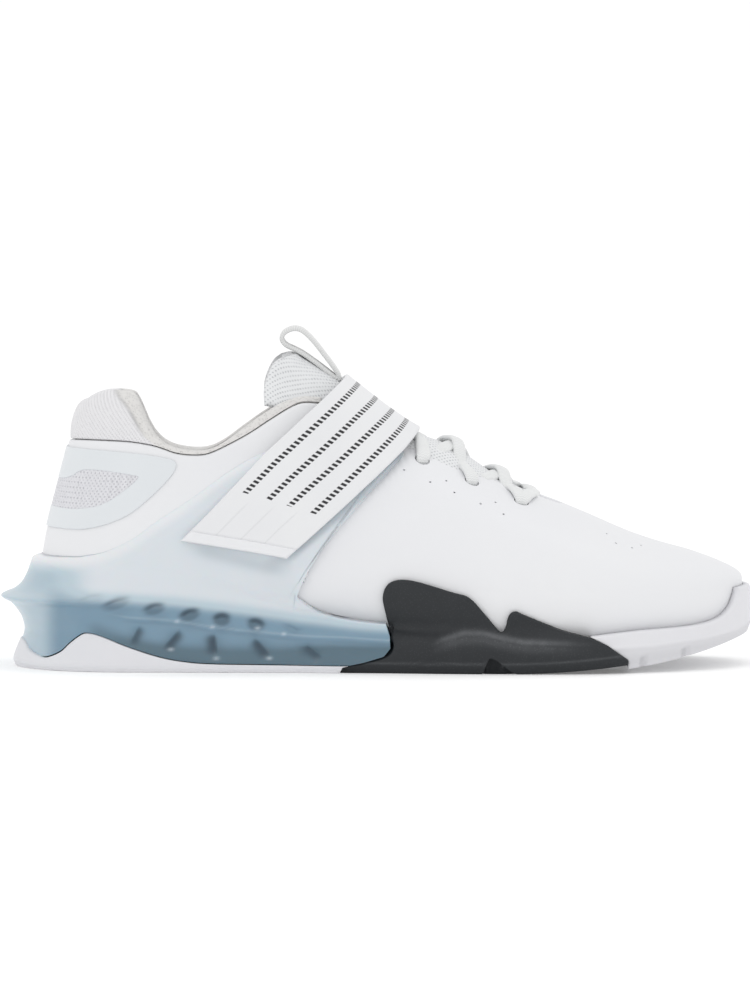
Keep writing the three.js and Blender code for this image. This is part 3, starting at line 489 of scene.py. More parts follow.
# Finishes.
def smoothSkin():  # the upper: a fused skin, nearly smooth
    p = Paint("upper_skin")
    grain = p.cloud(0.9, 3)
    haze = p.cloud(55, 1)
    colour = p.blend((0.745, 0.75, 0.775, 1), (0.785, 0.79, 0.80, 1), haze)
    # Painted shadow: grey where the upper's shade mark lies, just in front of the strap's front edge.
    colour = p.blend(colour, (0.40, 0.41, 0.43, 1), p.mark("shade") * 0.55)
    relief = p.relief(grain, 0.05, 0.35)
    return p.finish(colour, 0.42 + 0.1 * p.cloud(20, 2), relief, Specular_IOR_Level=0.4,
                    Coat_Weight=0.08, Coat_Roughness=0.35)


def whiteRubber():
    p = Paint("white_rubber")
    colour = p.blend((0.68, 0.68, 0.71, 1), (0.75, 0.75, 0.77, 1), p.cloud(40, 2))
    # Painted shade from the toe's shade mark: grey below the toe's rib, in a thin line under it and in its notches.
    colour = p.blend(colour, (0.42, 0.42, 0.44, 1), p.mark("shade") * 0.6)
    relief = p.relief(p.cloud(0.6, 2), 0.05, 0.4)
    return p.finish(colour, 0.5 + 0.12 * p.cloud(9, 2), relief, Specular_IOR_Level=0.45)


def darkRubber():
    p = Paint("dark_rubber")
    fleck = p.cells(0.9).between(0.32, 0.18)
    wide = p.cloud(30, 3)
    # A painted highlight from the forefoot's highlight mark lightens the rubber along the wing's shoulder and a thin
    # line low on the wall, and shows more flecks there.
    colour = p.blend(p.blend((0.018, 0.020, 0.023, 1), (0.028, 0.031, 0.034, 1), wide),
                     (0.10, 0.105, 0.11, 1), fleck * (0.12 + 0.6 * p.mark("paintedHighlight")))
    colour = p.blend(colour, (0.125, 0.13, 0.138, 1), p.mark("paintedHighlight") * (0.45 + 0.5 * p.cloud(2.5, 3)))
    relief = p.relief(p.cells(0.7), 0.07, 0.5)
    return p.finish(colour, 0.42 + 0.16 * p.cloud(6, 2), relief, Specular_IOR_Level=0.28)


def frostedPlastic():  # the wedge: milky moulded plastic, bluer where it is thick
    p = Paint("frosted_plastic")
    # The depth mark is the plastic's own blue where it is thick, with a little painted shadow near the strap added
    # in.
    deep = p.mark("depth")
    # The shade mark is painted shade in the hollows, in the strokes and under the ridge, and painted shadow under
    # and beside the strap.
    shade = p.mark("shade")
    blur = (p.cloud(16, 2) - 0.5) * 0.16
    pale = p.blend((0.66, 0.695, 0.73, 1), (0.46, 0.56, 0.62, 1), (deep * 3 + blur).between(0.0, 1.0))
    blue = p.blend(pale, (0.17, 0.28, 0.37, 1), (deep * 3 - 1 + blur).between(0.0, 1.0))
    strong = p.blend(blue, (0.085, 0.15, 0.195, 1), (deep * 3 - 2 + blur).between(0.0, 1.0))
    colour = p.blend(strong, (0.022, 0.052, 0.082, 1), shade.between(0.0, 1.0))
    # Painted highlight: along the ridge, along the strip's front rim and at a few small bright flecks.
    colour = p.blend(colour, (0.62, 0.70, 0.76, 1), p.mark("gleam") * 0.8)
    colour = p.blend(colour, (0.75, 0.755, 0.775, 1), p.mark("fade"))
    relief = p.relief(p.cloud(2.5, 2), 0.05, 0.3)
    return p.finish(colour, 0.27 + 0.12 * p.cloud(14, 2), relief, Subsurface_Weight=0.15,
                    Subsurface_Scale=0.002, Coat_Weight=0.25, Coat_Roughness=0.18)


def filmFrame():
    p = Paint("counter_film")
    colour = p.blend((0.67, 0.70, 0.725, 1), (0.72, 0.745, 0.765, 1), p.cloud(30, 2))
    return p.finish(colour, 0.34 + 0.08 * p.cloud(8, 2), p.relief(p.cloud(1.4, 2), 0.04, 0.3),
                    Coat_Weight=0.2, Coat_Roughness=0.3)


def meshCloth(name, colour, shadow, size=1.5, depth=0.35):  # spacer mesh: rows of small round pores
    p = Paint(name)
    along, across = p.mark("along"), p.mark("across")
    wave = along.ripple(size) * across.ripple(size)
    pore = (wave + (p.cloud(2.2, 2) - 0.5) * 0.9).between(0.35, 0.9)
    fibre = p.cloud(0.35, 2)
    paint = p.blend(colour, shadow, pore * 0.75)
    height = 1 - pore + fibre * 0.25
    return p.finish(paint, 0.85, p.relief(height, depth, 0.6), Sheen_Weight=0.25, Specular_IOR_Level=0.25)


def collarCloth():  # knit pad with a darker rolled binding along its front
    p = Paint("collar_cloth")
    along, across, binding = p.mark("along"), p.mark("across"), p.mark("binding")
    loops = along.ripple(1.5) * (across * (fullTurn / 1.9) + along * 1.2).sine()
    pore = (loops + (p.cloud(1.6, 3) - 0.5) * 1.4).between(0.2, 0.95)
    speck = p.cells(0.8).between(0.36, 0.12)
    pad = p.blend((0.755, 0.75, 0.765, 1), (0.64, 0.635, 0.65, 1), pore * 0.5)
    web = p.blend((0.70, 0.69, 0.675, 1), (0.45, 0.445, 0.44, 1), speck * 0.55)
    colour = p.blend(p.blend(pad, web, binding), (0.42, 0.42, 0.42, 1), p.mark("seam") * 0.6)
    height = (1 - pore) * (1 - binding) + (1 - speck) * binding - p.mark("seam")
    return p.finish(colour, 0.85, p.relief(height + p.cloud(0.4, 2) * 0.2, 0.3, 0.7), Sheen_Weight=0.25,
                    Specular_IOR_Level=0.25)


def bandWeb():  # the strap: smooth coated cloth with four rows of slanted dark stitches
    p = Paint("strap_band")
    along, across = p.mark("along"), p.mark("across")
    rows, grooves = 0.0, 0.0
    for middle, drift in strapBand["rows"]:
        rows = (1 - (across - middle - (along - 24) * drift).size().between(0.92, 1.2)) + rows
    for middle in strapBand["grooves"]:
        grooves = (1 - (across - middle).size().between(0.0, 0.5)) + grooves
    grooves = grooves * (1 - along.between(15, 21))
    stitch = ((along + (across * strapBand["slant"])) * (1 / strapBand["pitch"])).part()
    dash = stitch.between(0.30, 0.42) * (1 - stitch.between(0.86, 0.98))
    begun = along + across * strapBand["rowSlope"] - strapBand["rowStart"]
    dark = rows * dash * begun.between(0.0, 0.3)
    cloth = p.cloud(0.5, 2)
    colour = p.blend(p.blend((0.73, 0.735, 0.755, 1), (0.78, 0.785, 0.79, 1), p.cloud(24, 2)),
                     (0.012, 0.012, 0.014, 1), dark)
    # a little painted shade in the grooves, on top of their relief
    colour = p.blend(colour, (0.60, 0.605, 0.62, 1), grooves * 0.35)
    relief = p.relief(cloth * 0.3 + dark * 0.8 - grooves, 0.16, 0.5)
    return p.finish(colour, 0.6, relief, Sheen_Weight=0.1)


def ribbedWeb(name, colour, pitch=0.9):  # woven webbing and laces
    p = Paint(name)
    along, across = p.mark("along"), p.mark("across")
    ribs = (along * (fullTurn / pitch) + across.ripple(1.3) * 1.2).sine() * 0.5 + 0.5
    paint = p.blend(colour, tuple(0.86 * c for c in colour[:3]) + (1,), 1 - ribs)
    return p.finish(paint, 0.8, p.relief(ribs + p.cloud(0.4, 2) * 0.4, 0.12, 0.5), Sheen_Weight=0.3)


strapBand = {
    "width": 37.5, "thick": 1.9, "lift": 2.7,
    "low": (0.303, 0.44), "high": (0.5, 0.94),
    "lateral": (-0.04, 0.7), "medial": (-0.22, 0.52),  # start and slant of each end
    "tip": 5.8, "tipThick": 2.9,
    "left": np.array([[0, -17.65], [35, -18.8], [75, -17.0]]),  # edges: place along, place across
    "right": np.array([[0, 17.3], [35, 19.1], [75, 21.0]]),
    # rows of dark stitches: place across and its drift; the pitch of a row and where the rows start
    "rows": ((5.5, 0.008), (14.3, 0.012), (22.2, 0.022), (30.9, 0.0)),
    "slant": 0.3, "pitch": 2.0, "rowStart": 24.1, "rowSlope": 0.15, "grooves": (9.2, 18.0, 26.2),
}
paints = {
    "skin": smoothSkin(), "rubber": whiteRubber(), "dark": darkRubber(), "wedge": frostedPlastic(),
    "film": filmFrame(), "band": bandWeb(), "collar": collarCloth(),
    "knit": meshCloth("window_knit", (0.72, 0.72, 0.75, 1), (0.54, 0.54, 0.58, 1), 2.1, 0.5),
    "tongue": meshCloth("tongue_mesh", (0.76, 0.77, 0.78, 1), (0.46, 0.47, 0.49, 1), 2.1, 0.4),
    "foam": meshCloth("insole_cloth", (0.72, 0.72, 0.73, 1), (0.6, 0.6, 0.6, 1), 0.8, 0.1),
    "web": ribbedWeb("loop_web", (0.74, 0.745, 0.74, 1)),
    "lace": ribbedWeb("lace_cotton", (0.80, 0.81, 0.81, 1), 0.8),
}
print("finishes made")

# Outlines in the side view.
collarTilt = 0.037
collarSide = -lastTable[4, 1] * shoe["ballWidth"]
upperLine = outline([
    [-0.1, 0.81], [0.06, 0.812], [0.11, 0.812], [0.155, 0.808], [0.185, 0.797], [0.202, 0.785], [0.221, 0.768],
    [0.243, 0.7615], [0.265, 0.767], [0.293, 0.80], [0.321, 0.84], [0.348, 0.886], [0.376, 0.93], [0.393, 0.946],
    [0.418, 0.942], [0.432, 0.935]], tall)
collarLine = outline([
    [-0.1, 0.9], [0.07, 0.912], [0.0865, 0.936], [0.0987, 0.964], [0.1156, 0.99], [0.1322, 0.997], [0.1535, 0.991],
    [0.16, 0.974], [0.169, 0.932], [0.1805, 0.88], [0.1925, 0.836], [0.2115, 0.797], [0.2385, 0.78],
    [0.2638, 0.782], [0.286, 0.808], [0.3106, 0.855], [0.3359, 0.902], [0.36, 0.94], [0.376, 0.957],
    [0.393, 0.968], [0.418, 0.964], [0.44, 0.955]], tall)
throat = np.array([
    [0.4, 0.215], [0.44, 0.2], [0.5, 0.168], [0.57, 0.138], [0.64, 0.113], [0.69, 0.096],
    [0.722, 0.074], [0.738, 0.05], [0.744, 0.012]])
throatEnd = 0.744
waveLine = outline([
    [-0.06, 0.24], [0.0, 0.236], [0.0135, 0.218], [0.02, 0.158], [0.0317, 0.12], [0.0444, 0.106], [0.0643, 0.158],
    [0.0771, 0.232], [0.0898, 0.293], [0.1, 0.318], [0.1189, 0.295], [0.1553, 0.21], [0.199, 0.125], [0.2354, 0.085],
    [0.2712, 0.07], [0.331, 0.066], [0.444, 0.06], [0.6, 0.06]], cup)
rubberRear = {  # where the dark rubber starts: share of the sole's length, share of the cup's height
    -1.0: np.array([[0.443, 0.0], [0.447, 0.05], [0.478, 0.09], [0.505, 0.142], [0.514, 0.212], [0.513, 0.302],
                    [0.507, 0.4], [0.503, 0.508], [0.501, 0.7]]),
    1.0: np.array([[0.443, 0.0], [0.447, 0.05], [0.478, 0.09], [0.505, 0.142], [0.513, 0.302], [0.508, 0.46],
                   [0.508, 0.7]]),
}


# Where the wedge and the white outsole stop: a gap behind the dark rubber's edge.
def rubberStop(z, side):
    rear = rubberRear[side]
    return soleX(np.interp(z / cup, rear[:, 1], rear[:, 0])) - gap


# Draws a run of shares of the last in, so that its last place stops at the dark rubber's edge.
def drawnIn(at, z, side, begin):
    stop = lastAt(rubberStop(z, side))
    last = at.max()
    return np.where(at > begin, mix(begin, stop, (at - begin) / (last - begin)), at)


# Height of the collar's seam at a place: its outline, tilted down to the medial side.
def seamHeight(line, x, y):
    return heightOn(line, x) - collarTilt * (y - collarSide)


# Half width of the throat's opening, at a share of the sole's length.
def throatHalf(share):
    return np.interp(share, *throughPoints(throat).T) * shoe["ballWidth"]


strapShade = np.array([[-37.7, 45.4], [-15.7, 64.4], [17.1, 91.8]])  # the strap's front edge, side view


# Distance in front of the strap's front edge: the way along x times the edge's cosine.
def pastStrap(x, z):
    return (x - np.interp(z, strapShade[:, 1], strapShade[:, 0])) * 0.73


# A place seen from an oval's middle, along and across it, as shares of its half length and half width.
def ovalPlace(x, z, long, high, slope):
    c, s = math.cos(math.radians(slope)), math.sin(math.radians(slope))
    return (x * c + z * s) / long, (-x * s + z * c) / high


# Soft creases of the upper: x, z, half length, half width, slope in degrees, depth.
creases = np.array([
    [66.0, 44.0, 15.0, 4.5, -62, 0.45], [84.0, 36.0, 12.0, 4.0, -58, 0.35], [48.0, 52.0, 13.0, 5.0, -66, 0.3],
    [-8.0, 58.0, 18.0, 5.0, 38, 0.3], [8.0, 50.0, 15.0, 4.5, 30, 0.25], [-64.0, 84.0, 14.0, 4.0, 24, 0.3],
    [30.0, 34.0, 22.0, 5.0, -8, 0.3]])


# Each crease is a trough: its depth times a bell across it and a flatter bell along it.
def creaseDepth(x, z):
    deep = np.zeros_like(x)
    for cx, cz, long, high, slope, depth in creases:
        u, v = ovalPlace(x - cx, z - cz, long, high, slope)
        deep += depth * np.exp(-(u**4) - v * v)
    return deep


# Upper. Rows go from the turned-in edge under the foot, up the wall to the collar's seam, the throat
# or the ridge; columns go round the shoe from the toe along the lateral side and back.
def makeUpper():
    along = np.linspace(0, 1, 171)
    at = mix(along, (1 - np.cos(np.pi * along)) / 2, 0.75)
    at = np.unique(np.concatenate([at, np.linspace(lastAt(soleX(0.70)), lastAt(soleX(0.746)), 26)]))
    ringAt = np.concatenate([at[::-1], at[1:-1]])
    side = np.concatenate([-np.ones(len(at)), np.ones(len(at) - 2)])
    s = station(ringAt)
    width = halfWidth(s, side)
    a = soleShare(lastX(ringAt))
    out = np.clip(throatHalf(a) / np.maximum(width, 1), 0, 1)
    cut = mix(s["widest"], s["top"], roundEnd(out, s["bulge"]))
    cut = np.where(a > throatEnd, s["top"], cut)
    edge = np.full_like(a, tall * 0.8)
    for _ in range(12):  # where the wall meets the collar's tilted seam
        there = lastPoint(ringAt, edge, side)
        edge = seamHeight(upperLine, there[:, 0], there[:, 1])
    top = np.where(a < 0.395, edge, np.where(a > 0.435, cut, np.minimum(edge, cut)))
    turn = np.arcsin(riseOn(s, top) ** (s["bulge"] / 2))
    rows = [lastPoint(ringAt, mix(s["seat"], s["widest"], k), side) for k in np.linspace(0, 1, 10)[:-1]]
    for k in crowded(44, 0.03, both=False):
        place = lastPoint(ringAt, mix(s["widest"], s["top"], np.sin(turn * k) ** (2 / s["bulge"])), side)
        around = np.cos(turn * k) ** (2 / s["bulge"])
        place[:, 1] = s["ridge"] + side * width * np.where(turn * k > math.pi / 2 - 1e-5, 0, around)
        rows.append(place)
    grid = np.stack(rows, axis=1)
    way = planRing(ringAt, side)[1]
    turned = [movedIn(grid[:, 0], way, inset) for inset in (12.0, 8.0, 4.0, 1.2)]
    grid = np.concatenate([np.stack(turned, axis=1), grid], axis=1)
    ways = waysOut(grid, wrap=True)
    free = (a < throatEnd + 0.0005)[:, None]
    near = np.clip(np.where(free, rimDistance(grid, "d"), 1e3) / (wall / 2), 0, 1)
    rounding = wall / 2 * quarter(near)
    outer = grid + ways * (rounding - wall / 2)[..., None]
    inner = grid - ways * (rounding + wall / 2)[..., None]
    crease = ways * (creaseDepth(grid[..., 0], grid[..., 2]) * smooth(30, 34, grid[..., 2]))[..., None]
    outer, inner = outer - crease, inner - crease
    closed = np.flatnonzero(~free[:, 0])
    mirror = (2 * len(at) - 2 - closed) % len(ringAt)
    for sheet in (outer, inner):  # both sides meet on the toe's ridge
        sheet[closed, -1] = (sheet[closed, -1] + sheet[mirror, -1]) / 2
    places, faces = wallBetween(outer, inner, wrapRows=True, free=free[:, 0])
    x, y, z = places.T
    # Painted shadow of the strap: a soft grey band just in front of its front edge, on the lateral side.
    shade = bell(pastStrap(x, z), 2.0) * smooth(40, 46, z) * (1 - smooth(92, 98, z)) * (y < 0)
    return makePiece("upper_shell", places, faces, {"shade": shade})


# Holes: short round cutters whose axes stand square to the wall.
def cutHoles(piece, holes):
    corners = 20
    turn = np.linspace(0, fullTurn, corners + 1)[:-1]
    places, faces = [], []
    for k, (place, way, radius, depth) in enumerate(holes):
        side = np.cross(way, (0, 0, 1.0))
        side /= np.linalg.norm(side)
        up = np.cross(side, way)
        circle = (np.cos(turn)[:, None] * side + np.sin(turn)[:, None] * up) * radius
        places.append(np.concatenate([place + circle + way * 3, place + circle - way * depth]))
        ring = np.arange(corners) + 2 * corners * k
        after = np.roll(ring, -1)
        faces += np.stack([ring, after, after + corners, ring + corners], axis=-1).tolist()
        faces += [ring[::-1].tolist(), (ring + corners).tolist()]
    mesh = bpy.data.meshes.new("hole_cutters")
    mesh.from_pydata((np.concatenate(places) * 0.001).tolist(), [], faces)
    work = bmesh.new()
    work.from_mesh(mesh)
    bmesh.ops.recalc_face_normals(work, faces=work.faces)
    work.to_mesh(mesh)
    work.free()
    cutter = newObject("hole_cutters", mesh)
    cut = piece.modifiers.new("holes", "BOOLEAN")
    cut.operation = "DIFFERENCE"
    cut.solver = "MANIFOLD"
    cut.object = cutter
    bpy.context.view_layer.update()
    shown = piece.evaluated_get(bpy.context.evaluated_depsgraph_get())
    before = len(piece.data.polygons)
    solid = bpy.data.meshes.new_from_object(shown)
    piece.modifiers.clear()
    if len(solid.polygons) > 0.8 * before:
        solid.materials.clear()
        solid.set_sharp_from_angle(angle=math.radians(35))
        piece.data = solid
    print("holes cut: faces", before, "to", len(solid.polygons))
    bpy.data.objects.remove(cutter)


lacing = {
    "eyelets": np.array([[0.432, 0.875], [0.49, 0.803], [0.554, 0.736], [0.621, 0.661], [0.688, 0.59]]),
    "holeRadius": 3.2,
    # small air holes: share of the sole's length, share of the collar's height
    "airHoles": np.array([
        [0.5182, 0.749], [0.5292, 0.705], [0.5645, 0.663], [0.5862, 0.666], [0.5971, 0.627], [0.6325, 0.588],
        [0.6527, 0.591], [0.6636, 0.552], [0.8034, 0.476], [0.8156, 0.446], [0.8374, 0.4285], [0.8497, 0.433]]),
    "airRadius": 0.5,
    "holeDepth": 4.5, "airDepth": 1.5,
}


def onLast(share, height, side):  # a place on the last and the way out of it there
    x, z = soleX(share), height * tall
    step = 0.5
    here = lastPoint(atOf(x, z), z, side)
    fore = lastPoint(atOf(x + step, z), z, side)
    above = lastPoint(atOf(x, z + step), z + step, side)
    way = np.cross(fore - here, above - here) * -side
    return here, way / np.linalg.norm(way)


def shoeHoles():
    holes = []
    for side in (-1.0, 1.0):
        for rows, radius, depth in (("eyelets", "holeRadius", "holeDepth"), ("airHoles", "airRadius", "airDepth")):
            for share, height in lacing[rows]:
                holes.append((*onLast(share, height, side), lacing[radius], lacing[depth]))
    return holes


upperShell = makeUpper()
cutHoles(upperShell, shoeHoles())
settle(upperShell, paints["skin"], "upper_shell", "upper")
print("upper made")

# Wedge and its cage. Columns climb from the white outsole's wave to the cage's outline: straight at
# the heel, bent where the cage's arm leans forward, straight again along the low strip.
wedge = {
    "side": np.array([
        [0.0, 0.56, 0.95], [0.16, 0.5, 0.8], [0.3, 0.44, 0.64], [0.4, 0.45, 0.72], [0.47, 0.47, 0.9],
        [0.53, 0.45, 1.12], [0.585, 0.42, 1.47], [0.64, 0.38, 1.0], [0.7, 0.34, 0.72],
        [0.8, 0.28, 0.5], [0.88, 0.22, 0.42], [0.95, 0.2, 0.4], [1.0, 0.19, 0.34]]),
    "top": np.array([[0.0, 1.0], [0.16, 0.98], [0.26, 0.86], [0.34, 0.66], [0.42, 0.53], [0.58, 0.46]]),
    "cageRear": [[-0.08, 0.392], [0.07, 0.398], [0.1, 0.405], [0.126, 0.42], [0.155, 0.455], [0.171, 0.481],
                 [0.198, 0.533], [0.225, 0.578], [0.253, 0.628], [0.3, 0.715], [0.345, 0.775]],
    "cageFront": [[0.253, 0.628], [0.3, 0.715], [0.345, 0.775], [0.43, 0.84], [0.5, 0.84], [0.528, 0.797],
                  [0.512, 0.73], [0.486, 0.672], [0.457, 0.565], [0.435, 0.49], [0.41, 0.405], [0.3865, 0.318],
                  [0.3825, 0.292], [0.386, 0.268], [0.399, 0.243], [0.417, 0.219], [0.453, 0.196], [0.504, 0.182],
                  [0.53, 0.178]],
    "corner": 14,  # the cageFront row where the arm ends and the low strip starts
    "columns": (140, 83, 56),  # behind the arm, along the arm, along the strip
    "armFoot": (0.2754, 0.3637),  # shares of the last between which the arm's columns stand
    "armTop": 0.86, "bendHeight": 29.0,
    "cageWall": 2.1,
    # hollows: x, z, half length, half height, slope in degrees, depth, how dark their painted shade is
    "hollows": [
        (-116.0, 30.0, 6.5, 2.2, 14, 0.5, 0.4), (-105.6, 28.0, 6.6, 2.9, 20, 0.8, 0.75),
        (-90.2, 25.8, 5.0, 2.9, 16, 0.9, 0.85), (-75.8, 23.4, 4.8, 2.9, 18, 0.9, 0.95),
        (-62.8, 21.6, 4.0, 3.2, 5, 1.0, 1.0), (-48.9, 19.6, 4.0, 3.0, -12, 1.0, 0.95),
        (-34.0, 17.7, 5.2, 1.8, -24, 0.6, 0.38)],
    # strokes: x, z, half length, half width, slope in degrees, depth, how dark their painted shade is
    "strokes": [
        (-97.8, 15.0, 4.8, 1.3, 62, 1.0, 0.75), (-82.9, 13.2, 5.8, 1.4, 48, 1.2, 0.85),
        (-66.0, 11.4, 5.0, 1.6, -84, 1.1, 0.9), (-46.8, 10.2, 5.4, 1.4, -48, 1.0, 0.9),
        (-26.2, 8.9, 5.6, 1.2, -34, 0.9, 0.75)],
    "blueFrom": np.array([[-150, 31], [-113, 31], [-82, 29], [-60, 26.5], [-31, 22.6], [-10, 20.2], [12, 18.6]]),
    "ridge": np.array([[-112, 24.0], [-100.8, 22.2], [-82.4, 21], [-70, 18.9], [-59.8, 17.7], [-47.5, 16.4],
                       [-27, 14.8], [-12.7, 14.4], [7.8, 13.2]]),
    "flecks": [(-83.6, 9.4), (-65.0, 5.8), (-43.4, 6.0), (-48.2, 18.2), (-81.0, 20.9), (-66.6, 18.6), (-37.5, 15.9)],
}


def wedgeColumns():
    rearCount, armCount, stripCount = wedge["columns"]
    begin, end = wedge["armFoot"]
    rear = begin * (1 - np.cos(np.linspace(0, math.pi / 2, rearCount)))
    rearTop = outline(wedge["cageRear"], tall)
    rearHeight = np.full_like(rear, tall * 0.43)
    for _ in range(8):
        rearHeight = heightOn(rearTop, lastX(rear) + lean(rearHeight, rear))
    steps = 14
    front = outline(wedge["cageFront"], tall, steps)
    corner = wedge["corner"] * steps
    arm = front[steps:corner + 1]
    run = lengthAlong(arm)
    share = np.linspace(0, 1, armCount + 1)[1:]
    armX, armZ = (np.interp(share * run[-1], run, arm[:, k]) for k in (0, 1))
    armAt = atOf(armX, armZ)
    s = station(armAt)
    armZ = np.minimum(armZ, mix(s["widest"], s["top"], wedge["armTop"]))
    strip = front[corner + 1:]
    stripX = np.interp(np.linspace(0, 1, stripCount) * (len(strip) - 1), np.arange(len(strip)), strip[:, 0])
    stripZ = heightOn(strip, stripX)
    stripAt = atOf(stripX, stripZ)

    def spread(low, high):  # 0 behind the arm and 1 along the strip
        return np.concatenate([np.zeros(rearCount), smooth(low, high, share), np.ones(stripCount)])

    footAt = np.concatenate([rear, mix(begin, end, share), stripAt])
    topAt = np.concatenate([rear, armAt, stripAt])
    topZ = np.concatenate([rearHeight, armZ, stripZ])
    return footAt, topAt, topZ, spread(0, 0.3), spread(0.30, 0.42)


# Hollows are oval dents with painted shade, darkest along their upper rim; strokes are dents that are sharp on one
# side and soft on the other, also with painted shade; the ridge is a low crest with a painted highlight on it and
# painted shade just under it, and a few small bright flecks are painted. Their places are in the side view.
def wedgeRelief(x, z):
    depth = np.zeros_like(x)
    dark = np.zeros_like(x)
    for cx, cz, long, high, slope, deep, tone in wedge["hollows"]:
        u, v = ovalPlace(x - cx, z - cz, long, high, slope)
        r = np.sqrt(u * u + v * v)
        depth += 0.62 * deep * bell(r, 1.15)
        crescent = bell(r - 0.5, 0.55) * smooth(-0.7, 0.6, v)
        body = 0.6 * (1 - smooth(0.5, 1.4, r)) * smooth(1.0, 0.2, v)
        trail = 0.3 * bell(u, 1.2) * bell(v + 1.1, 1.3)
        dark = np.maximum(dark, tone * np.maximum(np.maximum(crescent, body), trail))
    for cx, cz, long, high, slope, deep, tone in wedge["strokes"]:
        u, v = ovalPlace(x - cx, z - cz, long, high, slope)
        reach = bell(u, 0.85, 4)
        soft = np.where(v > 0, bell(v, 1.15), bell(v, 2.9))
        depth += deep * reach * soft
        dark = np.maximum(dark, tone * reach * np.maximum(soft**1.6, 0.35 * bell(v, 3.4)))
    off = z - np.interp(x, *wedge["ridge"].T)
    along = smooth(-112, -96, x)
    depth -= 0.5 * along * bell(off, 0.9)
    # a painted highlight along the ridge's crest and at a few small flecks
    gleam = 0.16 * along * bell(off - 0.2, 0.5)
    for fx, fz in wedge["flecks"]:
        gleam = np.maximum(gleam, 0.6 * bell(x - fx, 1.2) * bell(z - fz, 0.7))
    return depth, np.maximum(dark, 0.22 * along * bell(off + 1.6)), np.clip(gleam, 0, 1)


# Turns a column's ways into the shoe's middle plane.
def intoPlane(ways, column):
    ways[:, column, 1] = 0
    ways[:, column] = unit(ways[:, column])


# Draws the inner wall in and flattens it where it lies under the foot; gives how far under it is.
def tuckIn(inner, at, z, way, share=1.0):
    under = np.clip(seat(at) - z, 0, None)
    inner[..., :2] -= way * (under * share)[..., None]
    inner[..., 2] = np.where(under > 0, seat(at) - gap, inner[..., 2])
    return under


def wedgeHalf(side):
    footAt, topAt, topZ, bent, crisp = wedgeColumns()
    share = crowded(100, 0.014)[:, None]

    def bowed(first, middle, last):  # a column from its foot to its top, pulled towards the middle
        return (1 - share) ** 2 * first + 2 * share * (1 - share) * middle + share**2 * last

    bottom = heightOn(waveLine, lastX(footAt)) + gap
    for _ in range(12):
        first = soleWall(footAt, bottom, side, wedge["side"], curve(wedge["top"], 1, footAt) * cup)
        bottom = mix(bottom, heightOn(waveLine, first[..., 0]) + gap, 0.5)
    z = bowed(bottom, mix((bottom + topZ) / 2, np.clip(wedge["bendHeight"], bottom, topZ), bent), topZ)
    at = bowed(footAt, footAt, topAt)
    strip = len(footAt) - wedge["columns"][2]
    at[:, strip:] = drawnIn(at[:, strip:], z[:, strip:], side, float(footAt[strip]))
    sides = np.full_like(at, side)
    skin = lastPoint(at, z, sides)
    ways = waysOut(skin)
    intoPlane(ways, 0)
    localTop = curve(wedge["top"], 1, at) * cup
    sole = soleWall(at, z, sides, wedge["side"], localTop)
    outer = mix(sole, skin + ways * (gap + wedge["cageWall"]), smooth(0.82, 1.06, z / localTop)[..., None])
    outward = waysOut(outer)
    intoPlane(outward, 0)
    depth, dark, gleam = wedgeRelief(outer[..., 0], outer[..., 2])
    outer = outer - outward * depth[..., None]
    inner = skin + ways * gap
    tuckIn(inner, at, z, planRing(at, sides)[1], 0.6)
    # the rear and top edge thins out over several millimetres, the front edge is a rounded rim
    rim = rimDistance(outer, "b")
    soft = mix(2.2, 9.0, smooth(0.004, 0.07, footAt))  # the heel's own edge is a shoulder
    near = np.clip(rim / mix(soft, 1.0, crisp), 0, 1)
    thin = mix((1 - near) ** 1.5 * (wedge["cageWall"] + gap - 0.08), (1 - quarter(near)) * 1.05, crisp)
    outer = outer - outward * thin[..., None]
    inner = inner + ways * (thin * crisp * (z > seat(at) + 2))[..., None]
    inner = inner - ways * ((gap - 0.02) * (1 - near) ** 2 * (1 - crisp))[..., None]
    fade = (1 - smooth(0, 7, rim)) * (1 - crisp)
    # the strip's rounded front rim also gets a painted highlight in the gleam mark
    return outer, inner, depth, dark, np.maximum(gleam, 0.5 * crisp * bell(rim - 0.9, 0.6)), fade


# A sole's wall: the plan outline pushed out by a side table, which turns into the heel's own column
# behind the foot.
def soleWall(at, z, side, table, height, out=0.0):
    up = np.clip(z / height, 0, 1)
    if table.shape[1] == 3:
        far = mix(curve(table, 2, up), curve(table, 1, up), smooth(0, 0.16, at)) * shoe["heelSetback"]
    else:
        far = curve(table, 1, up)
    ring, way = planRing(at, side)
    flat = ring + way * (far + out)[..., None]
    return np.concatenate([flat, np.broadcast_to(z, at.shape)[..., None]], axis=-1)


